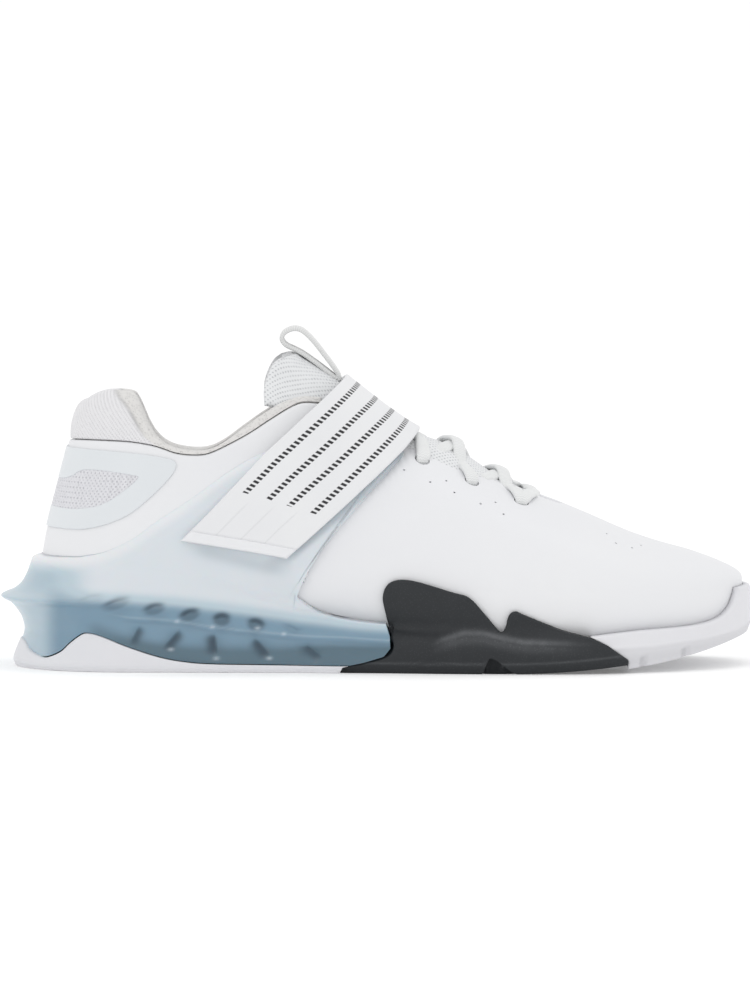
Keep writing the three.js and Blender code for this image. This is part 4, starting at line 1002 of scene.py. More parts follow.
def makeWedge():
    halves = [wedgeHalf(side) for side in (-1.0, 1.0)]
    coarse = np.r_[0:len(halves[0][1]):3, len(halves[0][1]) - 1]
    stacks = [np.concatenate([half[0], half[1][coarse][::-1]]) for half in halves]
    places, faces = wallBetween(*stacks)
    marks = {"depth": [], "shade": [], "gleam": [], "fade": []}
    for outer, _, depth, dark, gleam, fade in halves:
        x, z = outer[..., 0], outer[..., 2]
        edge = np.interp(x, *wedge["blueFrom"].T)
        below = smooth(edge + 4.5, edge - 5.5, z)
        rear = smooth(-112, -134, x) * (1 - smooth(38, 47, z))
        blue = mix(0.06 + 0.38 * rear, 0.66, below * mix(1, 0.85, rear))
        blue += 0.23 * smooth(17, 6, z) * smooth(-122, -104, x)
        blue += 0.22 * smooth(9, 1, z - heightOn(waveLine, x)) * smooth(-124, -112, x)
        blue += 0.14 * smooth(-40, -20, x) * smooth(14, 9, z)
        blue -= 0.22 * smooth(-128, -138, x) * below
        # Painted shadows: under the strap's tip, in a band just in front of the strap's front edge, and a streak
        # along the cage's arm; they go into the shade mark and tint the depth mark a little bluer.
        tipLine = np.interp(x, [-79.4, -37.7], [55.9, 45.4])
        tipShade = bell(z - tipLine + 4.2, 4.0) * smooth(-82, -68, x) * (1 - smooth(-46, -30, x))
        off = pastStrap(x, z)
        bandShade = (1 - smooth(1.2, 4.4, off)) * smooth(-7, -1, off) * smooth(38, 52, z)
        streakLine = np.interp(x, [-91.6, -66.5, -45.6], [64.5, 75.0, 90.0])
        streak = bell(z - streakLine, 4.4) * smooth(-98, -66, x)
        blue += 0.07 * tipShade + 0.05 * bandShade + 0.06 * streak
        soft = 0.25 * tipShade + 0.34 * bandShade + 0.2 * streak
        shadow = np.maximum(dark * (0.35 + 0.65 * below), soft * (x > -100))
        for key, values in zip(marks, (blue, shadow, gleam, fade)):
            marks[key].append(np.concatenate([values, 0 * values[coarse]]))
    return makePiece("heel_wedge_shell", places, faces, {key: np.stack(values) for key, values in marks.items()})


settle(makeWedge(), paints["wedge"], "wedge_plastic", "heel_wedge")
print("wedge made")

# White outsole under the heel: its side table is (share of the cup's height, beside, behind).
heelSole = {
    "side": np.array([[0.0, 0.57, 0.92], [0.07, 0.62, 0.97], [0.3, 0.48, 0.62], [0.45, 0.46, 0.66]]),
    "lip": 0.7, "lugs": (0.06, 0.105, 0.15, 0.195, 0.24, 0.285),
    "lugHalf": (1.4, 2.0), "lugDepth": 1.3,  # grooves: half width of floor and mouth
    "reach": 0.475, "waist": -40.0,
    # bottom edge and top edge, rounded: millimetres up or down from the edge, and in from the wall
    "foot": ((0.15, 0.35), (0.6, 0.05), (0.9, 0.3), (1.15, 0.3), (1.5, 0.0)),
    "rim": ((0.3, 0.08), (0.1, 0.25), (0.0, 0.5), (0.0, 1.2), (0.3, 2.4)),
}


def treadLift(x, lugs):  # how deep the straight grooves cut into the tread
    off = np.min([np.abs(x - soleX(lug)) for lug in lugs], axis=0)
    return heelSole["lugDepth"] * (1 - smooth(*heelSole["lugHalf"], off))


def makeHeelSole():
    at = heelSole["reach"] * (1 - np.cos(np.linspace(0, math.pi / 2, 150)))
    lip = heelSole["lip"] - 2.4 * smooth(0.3, 0.45, at)  # the waist draws in to the dark rubber
    waist = heelSole["waist"]

    def wallRow(sides, z, inset=0.0):
        return soleWall(at, z + 0 * at, sides, heelSole["side"], cup, lip - inset)

    stacks = []
    for side in (-1.0, 1.0):
        sides = np.full_like(at, side)
        way = planRing(at, sides)[1]
        top = heightOn(waveLine, lastX(at))
        for _ in range(12):
            top = mix(top, heightOn(waveLine, wallRow(sides, top)[:, 0]), 0.5)
        rows = [movedIn(wallRow(sides, 0.0), way, inset) for inset in (22.0, 12.0, 5.0, 1.2)]
        for row in rows:
            row[:, 2] = treadLift(row[:, 0], heelSole["lugs"])
        rows += [wallRow(sides, rise, inset) for rise, inset in heelSole["foot"]]
        rows += [wallRow(sides, mix(1.5, top - 0.5, share)) for share in np.linspace(0, 1, 12)[1:]]
        rows += [wallRow(sides, top - drop, inset) for drop, inset in heelSole["rim"]]
        grid = np.stack(rows)
        x = grid[..., 0]
        far = np.clip((x - waist) / (x[:, -1:] - waist), 0, 1)
        grid[..., 0] = np.where(x > waist, mix(waist, rubberStop(grid[..., 2], side), far), x)
        stacks.append(grid)
    places, faces = wallBetween(*stacks)
    return makePiece("heel_outsole_tread", places, faces)


settle(makeHeelSole(), paints["rubber"], "white_rubber", "heel_outsole")

# Dark rubber under the ball. Its outline rises into a wing on each side; the columns lean between the
# floor and the outline, and sole shares of the column's foot stand in the third place of each row.
forefoot = {
    "lateral": [
        [0.444, 0.05, 0.444], [0.48, 0.09, 0.478], [0.507, 0.142, 0.51], [0.516, 0.212, 0.524],
        [0.515, 0.302, 0.531], [0.505, 0.508, 0.541], [0.501, 0.655, 0.55], [0.512, 0.76, 0.56],
        [0.54, 0.772, 0.574], [0.594, 0.68, 0.603], [0.617, 0.636, 0.618], [0.637, 0.51, 0.634],
        [0.652, 0.40, 0.646], [0.661, 0.353, 0.655], [0.666, 0.40, 0.661], [0.671, 0.5, 0.668], [0.68, 0.527, 0.675],
        [0.69, 0.5, 0.687], [0.74, 0.378, 0.735], [0.778, 0.308, 0.775], [0.8, 0.236, 0.797],
        [0.828, 0.106, 0.828]],
    "medial": [
        [0.444, 0.05, 0.444], [0.48, 0.09, 0.478], [0.507, 0.142, 0.51], [0.515, 0.302, 0.531],
        [0.51, 0.46, 0.54], [0.525, 0.56, 0.55], [0.57, 0.54, 0.58], [0.64, 0.42, 0.64], [0.7, 0.35, 0.7],
        [0.778, 0.308, 0.775], [0.8, 0.236, 0.797], [0.828, 0.106, 0.828]],
    "side": np.array([[0.0, 2.85], [0.06, 4.3], [0.16, 4.75], [0.24, 4.3], [0.31, 3.0], [0.42, 2.2]]),
    "shoulder": np.array([[20, 10.5], [27, 14.0], [36, 16.6], [44, 16.4], [52, 14.6], [60, 13.2], [90, 12.2]]),
    "wing": 1.9, "notch": (0.638, 0.65, 0.684, 6.6), "lugs": (0.56, 0.6, 0.73, 0.775),
}


def forefootHalf(name, side):
    line = throughPoints(forefoot[name])
    foot = np.linspace(line[0, 2], line[-1, 2], 170)
    footX = soleX(foot)
    x = soleX(np.interp(foot, line[:, 2], line[:, 0]))
    topZ = np.interp(foot, line[:, 2], line[:, 1]) * cup
    start, peak, end, high = forefoot["notch"]
    arch = np.where(foot < peak, smooth(start - 0.004, peak - 0.004, foot), 1 - smooth(peak - 0.004, end, foot))
    share = crowded(40, 0.03)[:, None]
    px = mix(footX, x, share)
    z = mix(spring(footX) + high * arch, topZ, share)
    at = atOf(px, z)
    sides = np.full_like(at, side)
    skin = lastPoint(at, z, sides)
    ways = waysOut(skin)
    up = z - spring(px)
    sole = soleWall(at, up, sides, forefoot["side"], cup)
    sole[..., 2] = z
    outer = mix(sole, skin + ways * (gap + forefoot["wing"]), smooth(0.28, 0.44, up / cup)[..., None])
    near = np.clip(rimDistance(outer, "b") / 0.95, 0, 1)[..., None]
    roundOff = (1 - quarter(near)) * forefoot["wing"] / 2
    outer = outer - waysOut(outer) * roundOff
    inner = skin + ways * gap
    way = planRing(at, sides)[1]
    under = tuckIn(inner, at, z, way)
    inner = inner + ways * roundOff * (under <= 0)[..., None]
    tread = [movedIn(outer[0], way[0], inset) for inset in (30.0, 16.0, 7.0, 3.6, 3.2, 1.2)]
    for row in tread[:4]:  # the floor of the tread; the last two rows turn up to the wall
        row[:, 2] = spring(footX) + treadLift(row[:, 0], forefoot["lugs"])
    stack = np.concatenate([np.stack(tread), outer, inner[::-1]])
    x, z = stack[..., 0], stack[..., 2]
    # Painted highlight: a light streak along the shoulder where the wing meets the flared sidewall, with a softer
    # band under it, and a thin line 4.2 mm above the tread.
    off = z - np.interp(x, *forefoot["shoulder"].T)
    fade = smooth(21, 32, x) * (1 - smooth(62, 92, x))
    paintedHighlight = fade * np.maximum(bell(off, 1.3), 0.45 * bell(off + 2.0, 2.4))
    return stack, np.maximum(paintedHighlight, 0.4 * bell(z - spring(x) - 4.2, 0.5))


def makeForefoot():
    (lateral, lateralHighlight), (medial, medialHighlight) = forefootHalf("lateral", -1.0), forefootHalf("medial", 1.0)
    places, faces = wallBetween(lateral, medial)
    return makePiece("forefoot_outsole_rubber", places, faces, {"paintedHighlight": np.stack([lateralHighlight, medialHighlight])})


settle(makeForefoot(), paints["dark"], "dark_rubber", "forefoot_outsole")

# White rubber under and round the toe.
toe = {
    "top": outline([[0.778, 0.308], [0.843, 0.35], [0.92, 0.377], [0.955, 0.425], [0.972, 0.515],
                    [0.98, 0.63], [0.986, 0.665], [1.05, 0.665]], cup),
    "front": ([0.02, 0.106, 0.236, 0.308], [0.828, 0.828, 0.8, 0.778]),  # height and place of its rear edge
    "side": np.array([[0.0, 2.05], [0.08, 3.13], [0.3, 3.3], [0.55, 3.1]]),
    "lugs": (0.852, 0.908, 0.955), "notches": (108.3, 125.3), "round": 1.3,
    "rib": np.array([[92, 10.2], [113, 11.4], [135, 13.6], [148, 16.0], [154, 18.5]]),
}


def toeNotch(x, z):  # small dents low in the wall: a flat bell along it, ending above the tread
    dent = sum(bell(x - middle, 1.4, 4) for middle in toe["notches"])
    return dent * (1 - smooth(1.6, 3.4, z - spring(x)))


def toeHalf(side):
    end = float(lastAt(soleX(0.78)))
    at = 1 - (1 - end) * (1 - np.cos(np.linspace(math.pi / 2, 0, 110)))
    x = soleWall(at, np.zeros_like(at), np.full_like(at, side), toe["side"], cup)[:, 0]
    z = mix(spring(x), heightOn(toe["top"], x), crowded(30, 0.03)[:, None])
    begin = lastAt(soleX(np.interp(z[:, 0] / cup, *toe["front"])) + gap)[:, None]
    wide = mix(begin, 1.0, (at[None, :] - end) / (1 - end))
    sides = np.full_like(wide, side)
    x = lastX(wide)
    rib = 0.35 * bell(z - np.interp(x, *toe["rib"].T)) - 1.1 * toeNotch(x, z)
    sole = soleWall(wide, z - spring(x), sides, toe["side"], cup, rib)
    sole[..., 2] = z
    outward = waysOut(sole)
    intoPlane(outward, -1)
    near = np.clip(rimDistance(sole, "b") / toe["round"], 0, 1)[..., None]
    outer = sole - outward * ((1 - quarter(near)) * toe["round"])
    way = planRing(wide, sides)[1]
    ways = np.concatenate([way * 0.98, np.full_like(way[..., :1], 0.2)], axis=-1)
    inner = lastPoint(wide, z, sides) + ways * gap
    tuckIn(inner, wide, z, way)
    tread = [movedIn(outer[0], way[0], inset) for inset in (26.0, 14.0, 6.0, 1.4)]
    for row in tread:
        row[:, 2] = spring(row[:, 0]) + treadLift(row[:, 0], toe["lugs"])
    stack = np.concatenate([np.stack(tread), outer, inner[::-1]])
    x, z = stack[..., 0], stack[..., 2]
    # Painted shade: darker below the rib, where the toe's wall turns down, in a thin line just under the rib, and in
    # the notches.
    off = z - np.interp(x, *toe["rib"].T)
    dark = 0.5 * smooth(0.5, -3.5, off) + 0.2 * bell(off + 1.2, 0.7)
    return stack, np.maximum(dark, 0.95 * toeNotch(x, z))


def makeToe():
    (lateral, lateralShade), (medial, medialShade) = toeHalf(-1.0), toeHalf(1.0)
    places, faces = wallBetween(lateral, medial)
    return makePiece("toe_outsole_rubber", places, faces, {"shade": np.stack([lateralShade, medialShade])})


settle(makeToe(), paints["rubber"], "white_rubber", "toe_outsole")
print("soles made")

# Collar: a closed profile carried round the heel. It stands on the upper's edge, rolls over the top
# and lines the wall inside; the band along its front is a rolled binding with its own seam.
collar = {
    "lining": 1.4, "pad": 6.5, "depth": 0.24, "roll": 4.4, "front": 0.418,
    "heelDip": soleX(0.1),  # behind this the raised heel dips no further
    # where the binding starts on the raised heel: x and z
    "binding": np.array([[-88.5, 90.8], [-94.7, 95.8], [-101.0, 106.5], [-108.2, 114.8]]),
}


def makeCollar():
    reach = float(lastAt(soleX(collar["front"])))
    q = np.linspace(-1, 1, 321)
    at = reach * (1 - np.cos(np.abs(q) * math.pi / 2))
    side = np.where(q < 0, -1.0, 1.0)
    seam = np.full_like(at, tall * 0.8)
    crest = np.full_like(at, tall * 0.98)
    for _ in range(24):
        there = lastPoint(at, seam, side)
        seam = mix(seam, seamHeight(upperLine, there[:, 0], there[:, 1]) + gap, 0.6)
        there = lastPoint(at, crest, side)
        crest = mix(crest, seamHeight(collarLine, np.maximum(there[:, 0], collar["heelDip"]), there[:, 1]), 0.6)
    a = soleShare(lastX(at) + lean(seam, at))
    hug = smooth(0.315, 0.352, a)  # in front the binding is thin and holds the edge alone
    bottom = seam - gap - mix(collar["depth"] * tall, 4.0, hug)
    inside = mix(wall + gap, wall + 0.05, hug)
    lining = mix(collar["lining"], 0.1, hug)
    pad = collar["pad"] * mix(0.25, 1, 1 - smooth(0.24, 0.31, a)) * (1 - hug)
    thick = inside + lining + pad
    roll = np.minimum((crest - seam) * 0.6, collar["roll"])
    hump = smooth(6, 14, crest - seam)
    profile = []
    for k in np.linspace(0, 1, 20):  # up the outside
        deep = 0.05 + 0.24 * (1 - smooth(0, 0.1, k)) - 0.5 * hump * math.sin(math.pi * k)
        profile.append((mix(seam, crest - roll, k), 0 * at + deep))
    for turn in np.linspace(0, math.pi, 18)[1:-1]:  # over the top
        profile.append((crest - roll + roll * math.sin(turn), thick * (1 - math.cos(turn)) / 2))
    for k in np.linspace(0, 1, 26):  # down the inside, thinning to the lining
        z = mix(crest - roll, bottom, k)
        full = smooth(bottom, mix(bottom, crest - roll, 0.75), z)
        profile.append((z, inside + lining + pad * full))
    profile.append((bottom, inside + 0.5 * lining))
    for k in np.linspace(0, 1, 8):
        profile.append((mix(bottom + 1, seam - gap - 1.5, k), inside))
    profile.append((seam, inside))
    profile.append((seam, inside * 0.5))
    z, deep = (np.stack([place[k] for place in profile], axis=1) for k in (0, 1))
    skin = lastPoint(at[:, None], z, side[:, None])
    # the way out is taken from the wall's own smooth grid, not from the folded profile
    levels = 40
    plainZ = mix(bottom[:, None] - 2, crest[:, None] + 2, np.linspace(0, 1, levels)[None, :])
    ways = waysOut(lastPoint(at[:, None], plainZ, side[:, None]))
    ways[len(q) // 2, :, 1] = 0
    ways = unit(ways)
    share = np.clip((z - plainZ[:, :1]) / (plainZ[:, -1:] - plainZ[:, :1]), 0, 1) * (levels - 1)
    i = np.clip(share.astype(int), 0, levels - 2)
    f = (share - i)[..., None]
    pick = np.take_along_axis(ways, i[..., None], 1) * (1 - f) + np.take_along_axis(ways, i[..., None] + 1, 1) * f
    pick[..., 2] *= 0.35
    edge = collar["binding"]
    off = skin[..., 0] - np.interp(z, edge[:, 1], edge[:, 0])
    seamMark = bell(off, 0.8) * hump[:, None]
    deep = deep + 0.35 * seamMark * (deep < 3)
    grid = skin - pick * deep[..., None]
    climb = lengthAlong(grid, 1)
    run = lengthAlong(grid)[:, 10:11] + 0 * climb
    marks = {"along": run, "across": climb, "binding": smooth(-0.5, 0.5, off), "seam": seamMark}
    return makePiece("collar_pad", grid, tubeFaces(grid), marks)


def capLoop(index):  # closes an end of a tube by joining places across its loop
    n = len(index)
    return np.array([[index[k], index[k + 1], index[n - 2 - k], index[n - 1 - k]] for k in range(n // 2 - 1)])


# Faces of a tube whose loops are the grid's rows, closed at both ends.
def tubeFaces(grid):
    rows, columns = grid.shape[:2]
    index = np.arange(rows * columns).reshape(rows, columns)
    return np.vstack([gridFaces(rows, columns, wrapColumns=True), capLoop(index[0]), capLoop(index[-1])])


settle(makeCollar(), paints["collar"], "collar_cloth", "collar", pad=0.7)
print("collar made")

# Tongue: it follows the ridge under the throat and stands free and thicker above the instep.
tongue = {
    "thick": 3.2, "pad": 3.0, "end": 0.778,
    # height of its middle above the last: x and height
    "crown": np.array([[-45, -0.4], [-30, -0.6], [-21.7, 1.1], [-13.5, 2.8], [-7, 0.8], [0, -0.3], [8, -0.2],
                       [13, 0.9], [17, 2.2], [22, 2.8], [30, 3.2], [38.6, 2.2], [46.8, 0.8], [59, -0.6],
                       [67, -1.6], [75, -2.5]]),
    "crownLift": 2.5, "crownPower": 1.3,
}
tongueEdge = outline([[0.342, 0.94], [0.342, 1.0], [0.35, 1.06], [0.363, 1.108], [0.375, 1.124]], tall)
tongueUnder = outline([[0.342, 0.94], [0.375, 0.855], [0.44, 0.745], [0.53, 0.64], [0.62, 0.555],
                       [0.7, 0.495], [0.775, 0.46]], tall)


def makeTongue():
    b = np.linspace(-1, 1, 81)[None, :]
    middle = b.shape[1] // 2
    side = np.where(b < 0, -1.0, 1.0)
    share = crowded(90, 0.012)[:, None]
    startZ = mix(0.94 * tall, 1.096 * tall, np.cos(np.abs(b) * math.pi / 2))
    startX = np.interp(startZ, tongueEdge[:, 1], tongueEdge[:, 0])
    x = mix(startX, soleX(tongue["end"]), share)
    s = station(atOf(x, np.full_like(x, 100.0)))
    turnLow = np.arcsin(riseOn(s, heightOn(tongueUnder, x)) ** (s["bulge"] / 2))
    turn = mix(turnLow, math.pi / 2, 1 - np.abs(b))
    z = mix(s["widest"], s["top"], np.sin(turn) ** (2 / s["bulge"]))
    z = mix(startZ, z, smooth(0, 0.10, share))
    out = roundEnd(riseOn(s, z), s["bulge"])
    out[:, middle] = 0
    grid = np.stack([x, s["ridge"] + side * halfWidth(s, side) * out, z], axis=-1)
    ways = waysOut(grid)
    pad = smooth(1.02, 1.1, z / tall)
    near = np.clip(rimDistance(grid, "abcd") / 3.0, 0, 1)
    half = (tongue["thick"] + (tongue["pad"] + 2.0) * pad) / 2 * quarter(near)
    crown = np.interp(x, *tongue["crown"].T) + tongue["crownLift"] - 2.1 * pad
    crown = crown * np.clip(1 - (b / 0.66) ** 2, 0, 1) ** tongue["crownPower"] * smooth(0.0, 0.03, share)
    height = crown - (wall + gap) - (tongue["thick"] + tongue["pad"] * pad) / 2 + (wall * pad) * 0.5
    places, faces = wallBetween(grid + ways * (height + half)[..., None], grid + ways * (height - half)[..., None])
    climb = lengthAlong(grid, 1)
    climb = climb - climb[:, middle:middle + 1]
    return makePiece("tongue_pad", places, faces, bothFaces(along=x, across=climb))


settle(makeTongue(), paints["tongue"], "tongue_cloth", "tongue", pad=0.6)


# Insole: the plan drawn in from the wall, a little dished. Rows: millimetres up and in.
insole = ((0.2, 30), (0.0, 12), (0.0, 4.5), (0.0, 3.6), (0.8, 3.0), (3.0, 3.0), (3.5, 3.7), (3.4, 5.5),
          (2.9, 10), (2.5, 18), (2.4, 30))


def makeInsole():
    at = 0.5 - 0.5 * np.cos(np.linspace(0, math.pi, 90))
    base = seat(at) + wall + gap
    halves = []
    for side in (-1.0, 1.0):
        sides = np.full_like(at, side)
        way = planRing(at, sides)[1]
        rows = []
        for drop, inset in insole:
            place = lastPoint(at, base + drop, sides)
            reach = np.minimum(inset, np.abs(place[:, 1] - station(at)["ridge"]) * 0.96 + 3.2)
            rows.append(movedIn(place, way, reach[:, None]))
        halves.append(np.stack(rows))
    places, faces = wallBetween(*halves)
    return makePiece("insole_bed", places, faces, {"along": places[:, 0], "across": places[:, 1]})


settle(makeInsole(), paints["foam"], "insole_foam", "insole")

# Heel counter: a thin frame between its outline and the knitted window, both as (side view) rows from
# the heel's middle over the front to the heel's middle again.
counter = {
    "outer": [[-0.08, 0.775], [0.07, 0.775], [0.15, 0.768], [0.2, 0.753], [0.221, 0.733], [0.214, 0.685],
              [0.183, 0.604], [0.15, 0.54], [0.1, 0.497], [0.045, 0.494], [-0.08, 0.49]],
    "window": [[-0.08, 0.655], [0.06, 0.663], [0.1, 0.702], [0.16, 0.69], [0.168, 0.672], [0.127, 0.591],
               [0.09, 0.566], [0.05, 0.566], [-0.08, 0.575]],
    "thick": 0.6,
}


def heelLoop(rows, count):  # even places round one side's outline in heel share and height
    line = outline(rows, tall, 20)
    at = atOf(line[:, 0], line[:, 1])
    q = np.sqrt(at)
    keep = np.ones(len(at), bool)
    hidden = at <= 0
    first = np.argmax(~hidden)
    last = len(at) - np.argmax(~hidden[::-1])
    keep[:max(first - 1, 0)] = False
    keep[last + 1:] = False
    q, z = q[keep], line[keep, 1]
    run = lengthAlong(np.column_stack([q * 110, z]))
    even = np.linspace(0, run[-1], count)
    return np.interp(even, run, q) ** 2, np.interp(even, run, z)


def makeCounter():
    (outerAt, outerZ), (innerAt, innerZ) = (heelLoop(counter[name], 120) for name in ("outer", "window"))
    share = crowded(12, 0.09)[None, :]
    q = mix(np.sqrt(outerAt)[:, None], np.sqrt(innerAt)[:, None], share)
    z = mix(outerZ[:, None], innerZ[:, None], share)
    lateral, medial = (lastPoint(q**2, z, np.full_like(q, side)) for side in (-1.0, 1.0))
    grid = np.concatenate([lateral, medial[-2:0:-1]])
    ways = waysOut(grid, wrap=True)
    places, faces = softSheet(grid, ways, gap * 0.4, counter["thick"], 0.6, "cd", wrapRows=True)
    return makePiece("heel_counter_frame", places, faces)


settle(makeCounter(), paints["film"], "counter_film", "heel_counter")


# Knitted window inside the frame, a sheet just proud of the upper.
def makeWindow():
    edgeAt, edgeZ = heelLoop(counter["window"], 90)
    reach = int(np.argmax(edgeAt))
    topQ, topZ = np.sqrt(edgeAt[:reach + 1]), edgeZ[:reach + 1]
    lowQ, lowZ = np.sqrt(edgeAt[reach:])[::-1], edgeZ[reach:][::-1]
    q = np.linspace(-topQ[-1], topQ[-1], 161)
    high = np.interp(np.abs(q), topQ, topZ) + 0.6
    low = np.interp(np.abs(q), lowQ, lowZ) - 0.6
    share = np.linspace(0, 1, 40)[None, :]
    z = mix(low[:, None], high[:, None], share)
    side = np.where(q < 0, -1.0, 1.0)[:, None]
    grid = lastPoint((q**2)[:, None], z, np.broadcast_to(side, z.shape))
    ways = waysOut(grid)
    ways[len(q) // 2, :, 1] = 0
    along = lengthAlong(grid[:, 20])[:, None]
    knit = 0.26 * np.sin(along * math.pi) * smooth(0, 0.1, share) * smooth(0, 0.1, 1 - share)
    places, faces = wallBetween(grid + ways * (0.35 + knit)[..., None], grid - ways * 0.2)
    return makePiece("counter_window", places, faces, bothFaces(along=along + 0 * z, across=z))


settle(makeWindow(), paints["knit"], "collar_cloth")
print("counter made")


# Strap: a straight band in the side view, laid over the last. Each line across its width climbs from
# the lateral end to the ridge and comes down the medial side; places along it are spaced by the sine
# of an angle, so that they crowd on top.
def strapPlace(edge, far):  # side view, from shares of the width and millimetres along
    low = np.array([soleX(strapBand["low"][0]), strapBand["low"][1] * tall])
    high = np.array([soleX(strapBand["high"][0]), strapBand["high"][1] * tall])
    along = (high - low) / np.linalg.norm(high - low)
    across = np.array([along[1], -along[0]])
    left, right = (np.interp(far, *strapBand[name].T) for name in ("left", "right"))
    offset = mix(left, right, edge + 0.5)
    return low[0] + across[0] * offset + along[0] * far, low[1] + across[1] * offset + along[1] * far


def strapGrid(starts, steps, width):
    edge = (width - 0.5)[None, :]
    crown = np.full_like(edge, 70.0)
    for _ in range(40):
        x, z = strapPlace(edge, crown)
        crown = crown + 0.6 * (station(atOf(x, z))["top"] - z)
    grids = []
    for side, (begin, slant) in starts:
        first = strapBand["width"] * (begin + edge * slant)
        far = mix(first, crown, np.sin(steps[:, None] * math.pi / 2))
        x, z = strapPlace(edge, far)
        s = station(atOf(x, z))
        out = np.where(steps[:, None] >= 1, 0, roundEnd(riseOn(s, z), s["bulge"]))
        grids.append(np.stack([x, s["ridge"] + side * halfWidth(s, side) * out, z], axis=-1))
    return grids


def strapLift(z):
    return strapBand["lift"] + 1.2 * smooth(0.72, 0.86, z / tall)


def makeStrap():
    width = crowded(34, 0.025)
    steps = np.concatenate([[0, 0.003, 0.007, 0.012], np.linspace(0.018, 1, 90)])
    begin = strapBand["lateral"][0] + (strapBand["tip"] - 0.6) / strapBand["width"]
    lateralStart = (-1.0, (begin, strapBand["lateral"][1]))
    lateral, medial = strapGrid([lateralStart, (1.0, strapBand["medial"])], steps, width)
    grid = np.concatenate([lateral, medial[-2::-1]])
    places, faces = softSheet(grid, waysOut(grid), strapLift(grid[..., 2]), strapBand["thick"], 0.8, "abcd")
    along = lengthAlong(grid)
    marks = bothFaces(along=along, across=width * strapBand["width"] + 0 * along)
    return makePiece("strap_band", places, faces, marks)


settle(makeStrap(), paints["band"], "strap_web", "strap")


def makeStrapTip():
    width = crowded(34, 0.03)
    far = crowded(12, 0.15)[:, None] * strapBand["tip"]
    edge = (width - 0.5)[None, :]
    reach = (strapBand["lateral"][0] + edge * strapBand["lateral"][1]) * strapBand["width"] + far
    x, z = strapPlace(edge, reach)
    grid = lastPoint(atOf(x, z), z, np.full_like(x, -1.0))
    places, faces = softSheet(grid, waysOut(grid), strapLift(z) - 0.15, strapBand["tipThick"], 1.1, "abcd")
    return makePiece("strap_tip_weld", places, faces)


settle(makeStrapTip(), paints["skin"], "strap_web", "strap_tip")
print("strap made")

# Pull loop: a band of webbing, its middle line in the side view.
pullLoop = {"line": [[0.442, 1.008], [0.4375, 1.04], [0.42, 1.102], [0.406, 1.148], [0.392, 1.182],
                     [0.38, 1.19], [0.368, 1.178], [0.3635, 1.155], [0.369, 1.133], [0.3815, 1.117],
                     [0.394, 1.099], [0.415, 1.06], [0.4385, 1.012]],
            "width": 11.0, "thick": 1.9}


def makeLoop():
    line = outline(pullLoop["line"], tall, 12)
    y = (crowded(14, 0.06) - 0.5)[None, :] * pullLoop["width"]
    grid = np.stack(np.broadcast_arrays(line[:, :1], y, line[:, 1:]), axis=-1)
    run = unit(np.gradient(line, axis=0))
    way = np.stack([run[:, 1], 0 * run[:, 0], -run[:, 0]], axis=-1)[:, None, :]
    near = np.clip(rimDistance(grid, "cd") / 0.8, 0, 1)
    half = pullLoop["thick"] / 2 * quarter(near)[..., None]
    places, faces = wallBetween(grid + way * half, grid - way * half)
    marks = bothFaces(along=lengthAlong(line)[:, None] + 0 * y, across=grid[..., 1])
    return makePiece("pull_loop_web", places, faces, marks)


settle(makeLoop(), paints["web"], "webbing", "pull_loop")

# Laces: a flat cord along a path. Each comes out of an eyelet over the throat's edge, crosses to the
# other side and goes under the edge there, one row higher.
lace = {"width": 6.1, "thick": 2.4, "rest": 1.3, "over": 2.3, "barBow": 5.0, "bows": (0.0, 6.0, 1.5, 1.0)}


def topHeight(x, y):
    s = station(lastAt(x))
    off = y - s["ridge"]
    return mix(s["widest"], s["top"], roundEnd(np.abs(off) / halfWidth(s, off), s["bulge"]))


# A flat cord: an oval of the lace's width and thickness carried along the path. Its width always lies
# across the path's whole run, so that it doesn't twist where the path dives into a hole.
def flatCord(name, path, broad):
    run = unit(np.gradient(path, axis=0))
    flat = unit(broad - run * np.sum(broad * run, axis=-1, keepdims=True))
    up = np.cross(flat, run)
    turn = np.linspace(0, fullTurn, 25)[:-1]
    wide = np.sign(np.cos(turn)) * np.abs(np.cos(turn)) ** 0.75 * lace["width"] / 2
    high = np.sign(np.sin(turn)) * np.abs(np.sin(turn)) ** 0.9 * lace["thick"] / 2
    steps = np.arange(len(path))
    fromEnd = np.minimum(steps, steps[::-1])
    ends = np.sqrt(np.clip(fromEnd / 3, 0.05, 1)) * mix(0.86, 1, smooth(14, 32, fromEnd))
    oval = flat[:, None] * wide[None, :, None] + up[:, None] * high[None, :, None]
    grid = path[:, None] + oval * ends[:, None, None]
    along = lengthAlong(path)[:, None]
    marks = {"along": along + 0 * wide, "across": wide + 0 * along}
    return makePiece(name, grid, tubeFaces(grid), marks)


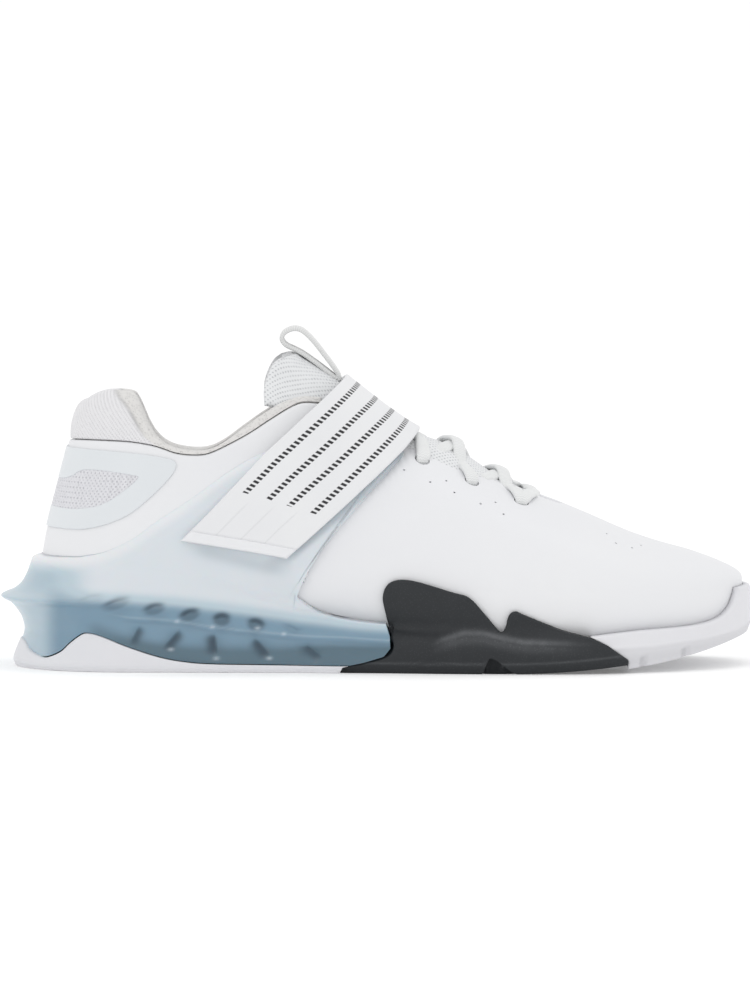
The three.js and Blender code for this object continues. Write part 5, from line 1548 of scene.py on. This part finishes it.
# Path over the last: places between two eyelets, lifted by the tongue's crown plus half the thickness;
# at the crossing one lace goes over the other.
def lacePath(low, high, side, bothOut=False, over=0.0, bow=0.0, hidden=False):
    a = onLast(*lacing["eyelets"][low], side)[0]
    b = onLast(*lacing["eyelets"][high], -side)[0]
    share = np.array([0.02, 0.004, -0.008, 0.004, 0.034, 0.085, 0.18, 0.3, 0.4, 0.5, 0.6, 0.7, 0.79, 0.87, 0.95])
    fixed = np.array([-3.6, -2.2, -0.9, 0.2, 1.0, lace["rest"]])
    if bothOut:
        share = np.concatenate([share[:6], [0.22, 0.32, 0.42, 0.5, 0.58, 0.68, 0.78], 1 - share[5::-1]])
    x = mix(a[0], b[0], share) + bow * np.sin(np.clip(share, 0, 1) * math.pi)
    y = mix(a[1], b[1], share)
    off = np.abs(y - station(lastAt(x))["ridge"]) / (throatHalf(soleShare(x)) + 1.5)
    crown = np.interp(x, *tongue["crown"].T) + tongue["crownLift"]
    crown = crown * np.clip(1 - off**2, 0, 1) ** tongue["crownPower"] - tongue["crownLift"]
    lift = np.maximum(crown + lace["thick"] / 2 + 0.1, -0.6) + over * bell(share - 0.5, 0.13)
    if hidden:
        lift = np.minimum(lift, strapLift(topHeight(x, y)) - lace["thick"] / 2 - 0.3)
    lift[:6] = fixed
    lift[6] = max(lift[6], 1.0)
    if bothOut:
        lift[-6:] = fixed[::-1]
        lift[-7] = max(lift[-7], 1.0)
    else:
        lift[-3:] = (-0.4, -3.4, -3.9)
    slopeX = (topHeight(x + 1, y) - topHeight(x - 1, y)) / 2
    slopeY = (topHeight(x, y + 1) - topHeight(x, y - 1)) / 2
    out = unit(np.stack([-slopeX, -slopeY, np.ones_like(x)], axis=-1))
    steps = 7
    path = throughPoints(np.stack([x, y, topHeight(x, y)], axis=-1) + out * lift[:, None], steps)
    places, known = np.arange(len(path)), np.arange(len(out)) * steps
    outs = np.stack([np.interp(places, known, out[:, k]) for k in range(3)], axis=-1)
    return path, unit(np.cross(b - a, outs))


def makeLaces():
    for row in range(4):
        for side, word in ((-1.0, "lateral"), (1.0, "medial")):
            over = (1.3 if row < 2 else lace["over"]) if side < 0 else 0.0
            path, broad = lacePath(row + 1, row, side, over=over, bow=lace["bows"][row], hidden=row < 2)
            piece = flatCord("lace_%d_%s" % (row + 1, word), path, broad)
            settle(piece, paints["lace"], "lace_cloth", "lace_cross_%d" % (row + 1))
    path, broad = lacePath(4, 4, -1.0, bothOut=True, bow=lace["barBow"])
    piece = flatCord("lace_bottom_bar", path, broad)
    settle(piece, paints["lace"], "lace_cloth", "lace_bar")


makeLaces()
print("laces made")


# Floor, daylight from all round, and a soft key from the front above.
def makeFloor():
    p = Paint("floor_paper")
    paper = p.finish((0.88, 0.88, 0.88, 1), 0.9, p.relief(p.cloud(3, 2), 0.02, 0.2), Specular_IOR_Level=0.1,
                     Emission_Color=(1, 1, 1, 1), Emission_Strength=0.16)
    mesh = bpy.data.meshes.new("floor")
    mesh.from_pydata([(-40, -30, 0), (40, -30, 0), (40, 60, 0), (-40, 60, 0)], [], [(0, 1, 2, 3)])
    mesh.materials.append(paper)
    newObject("floor", mesh)


def areaLight(name, place, target, size, power):
    light = bpy.data.lights.new(name, "AREA")
    light.shape = "DISK"
    light.size = size
    light.energy = power
    lamp = newObject(name, light)
    lamp.location = place
    way = np.array(target) - np.array(place)
    lamp.rotation_euler = (math.acos(-way[2] / np.linalg.norm(way)), 0, math.atan2(way[1], way[0]) - math.pi / 2)


makeFloor()
world = bpy.data.worlds.new("daylight")
world.use_nodes = True
world.node_tree.nodes["Background"].inputs["Color"].default_value = (1, 1, 1, 1)
world.node_tree.nodes["Background"].inputs["Strength"].default_value = 1.0
bpy.context.scene.world = world
areaLight("key", (-0.7, -1.5, 1.7), (0, 0, 0.05), 0.9, 2.2)
areaLight("top", (0.3, 0.2, 1.8), (0, 0, 0.05), 0.8, 2.0)
bpy.context.scene.view_settings.view_transform = "Standard"
print("lights placed")
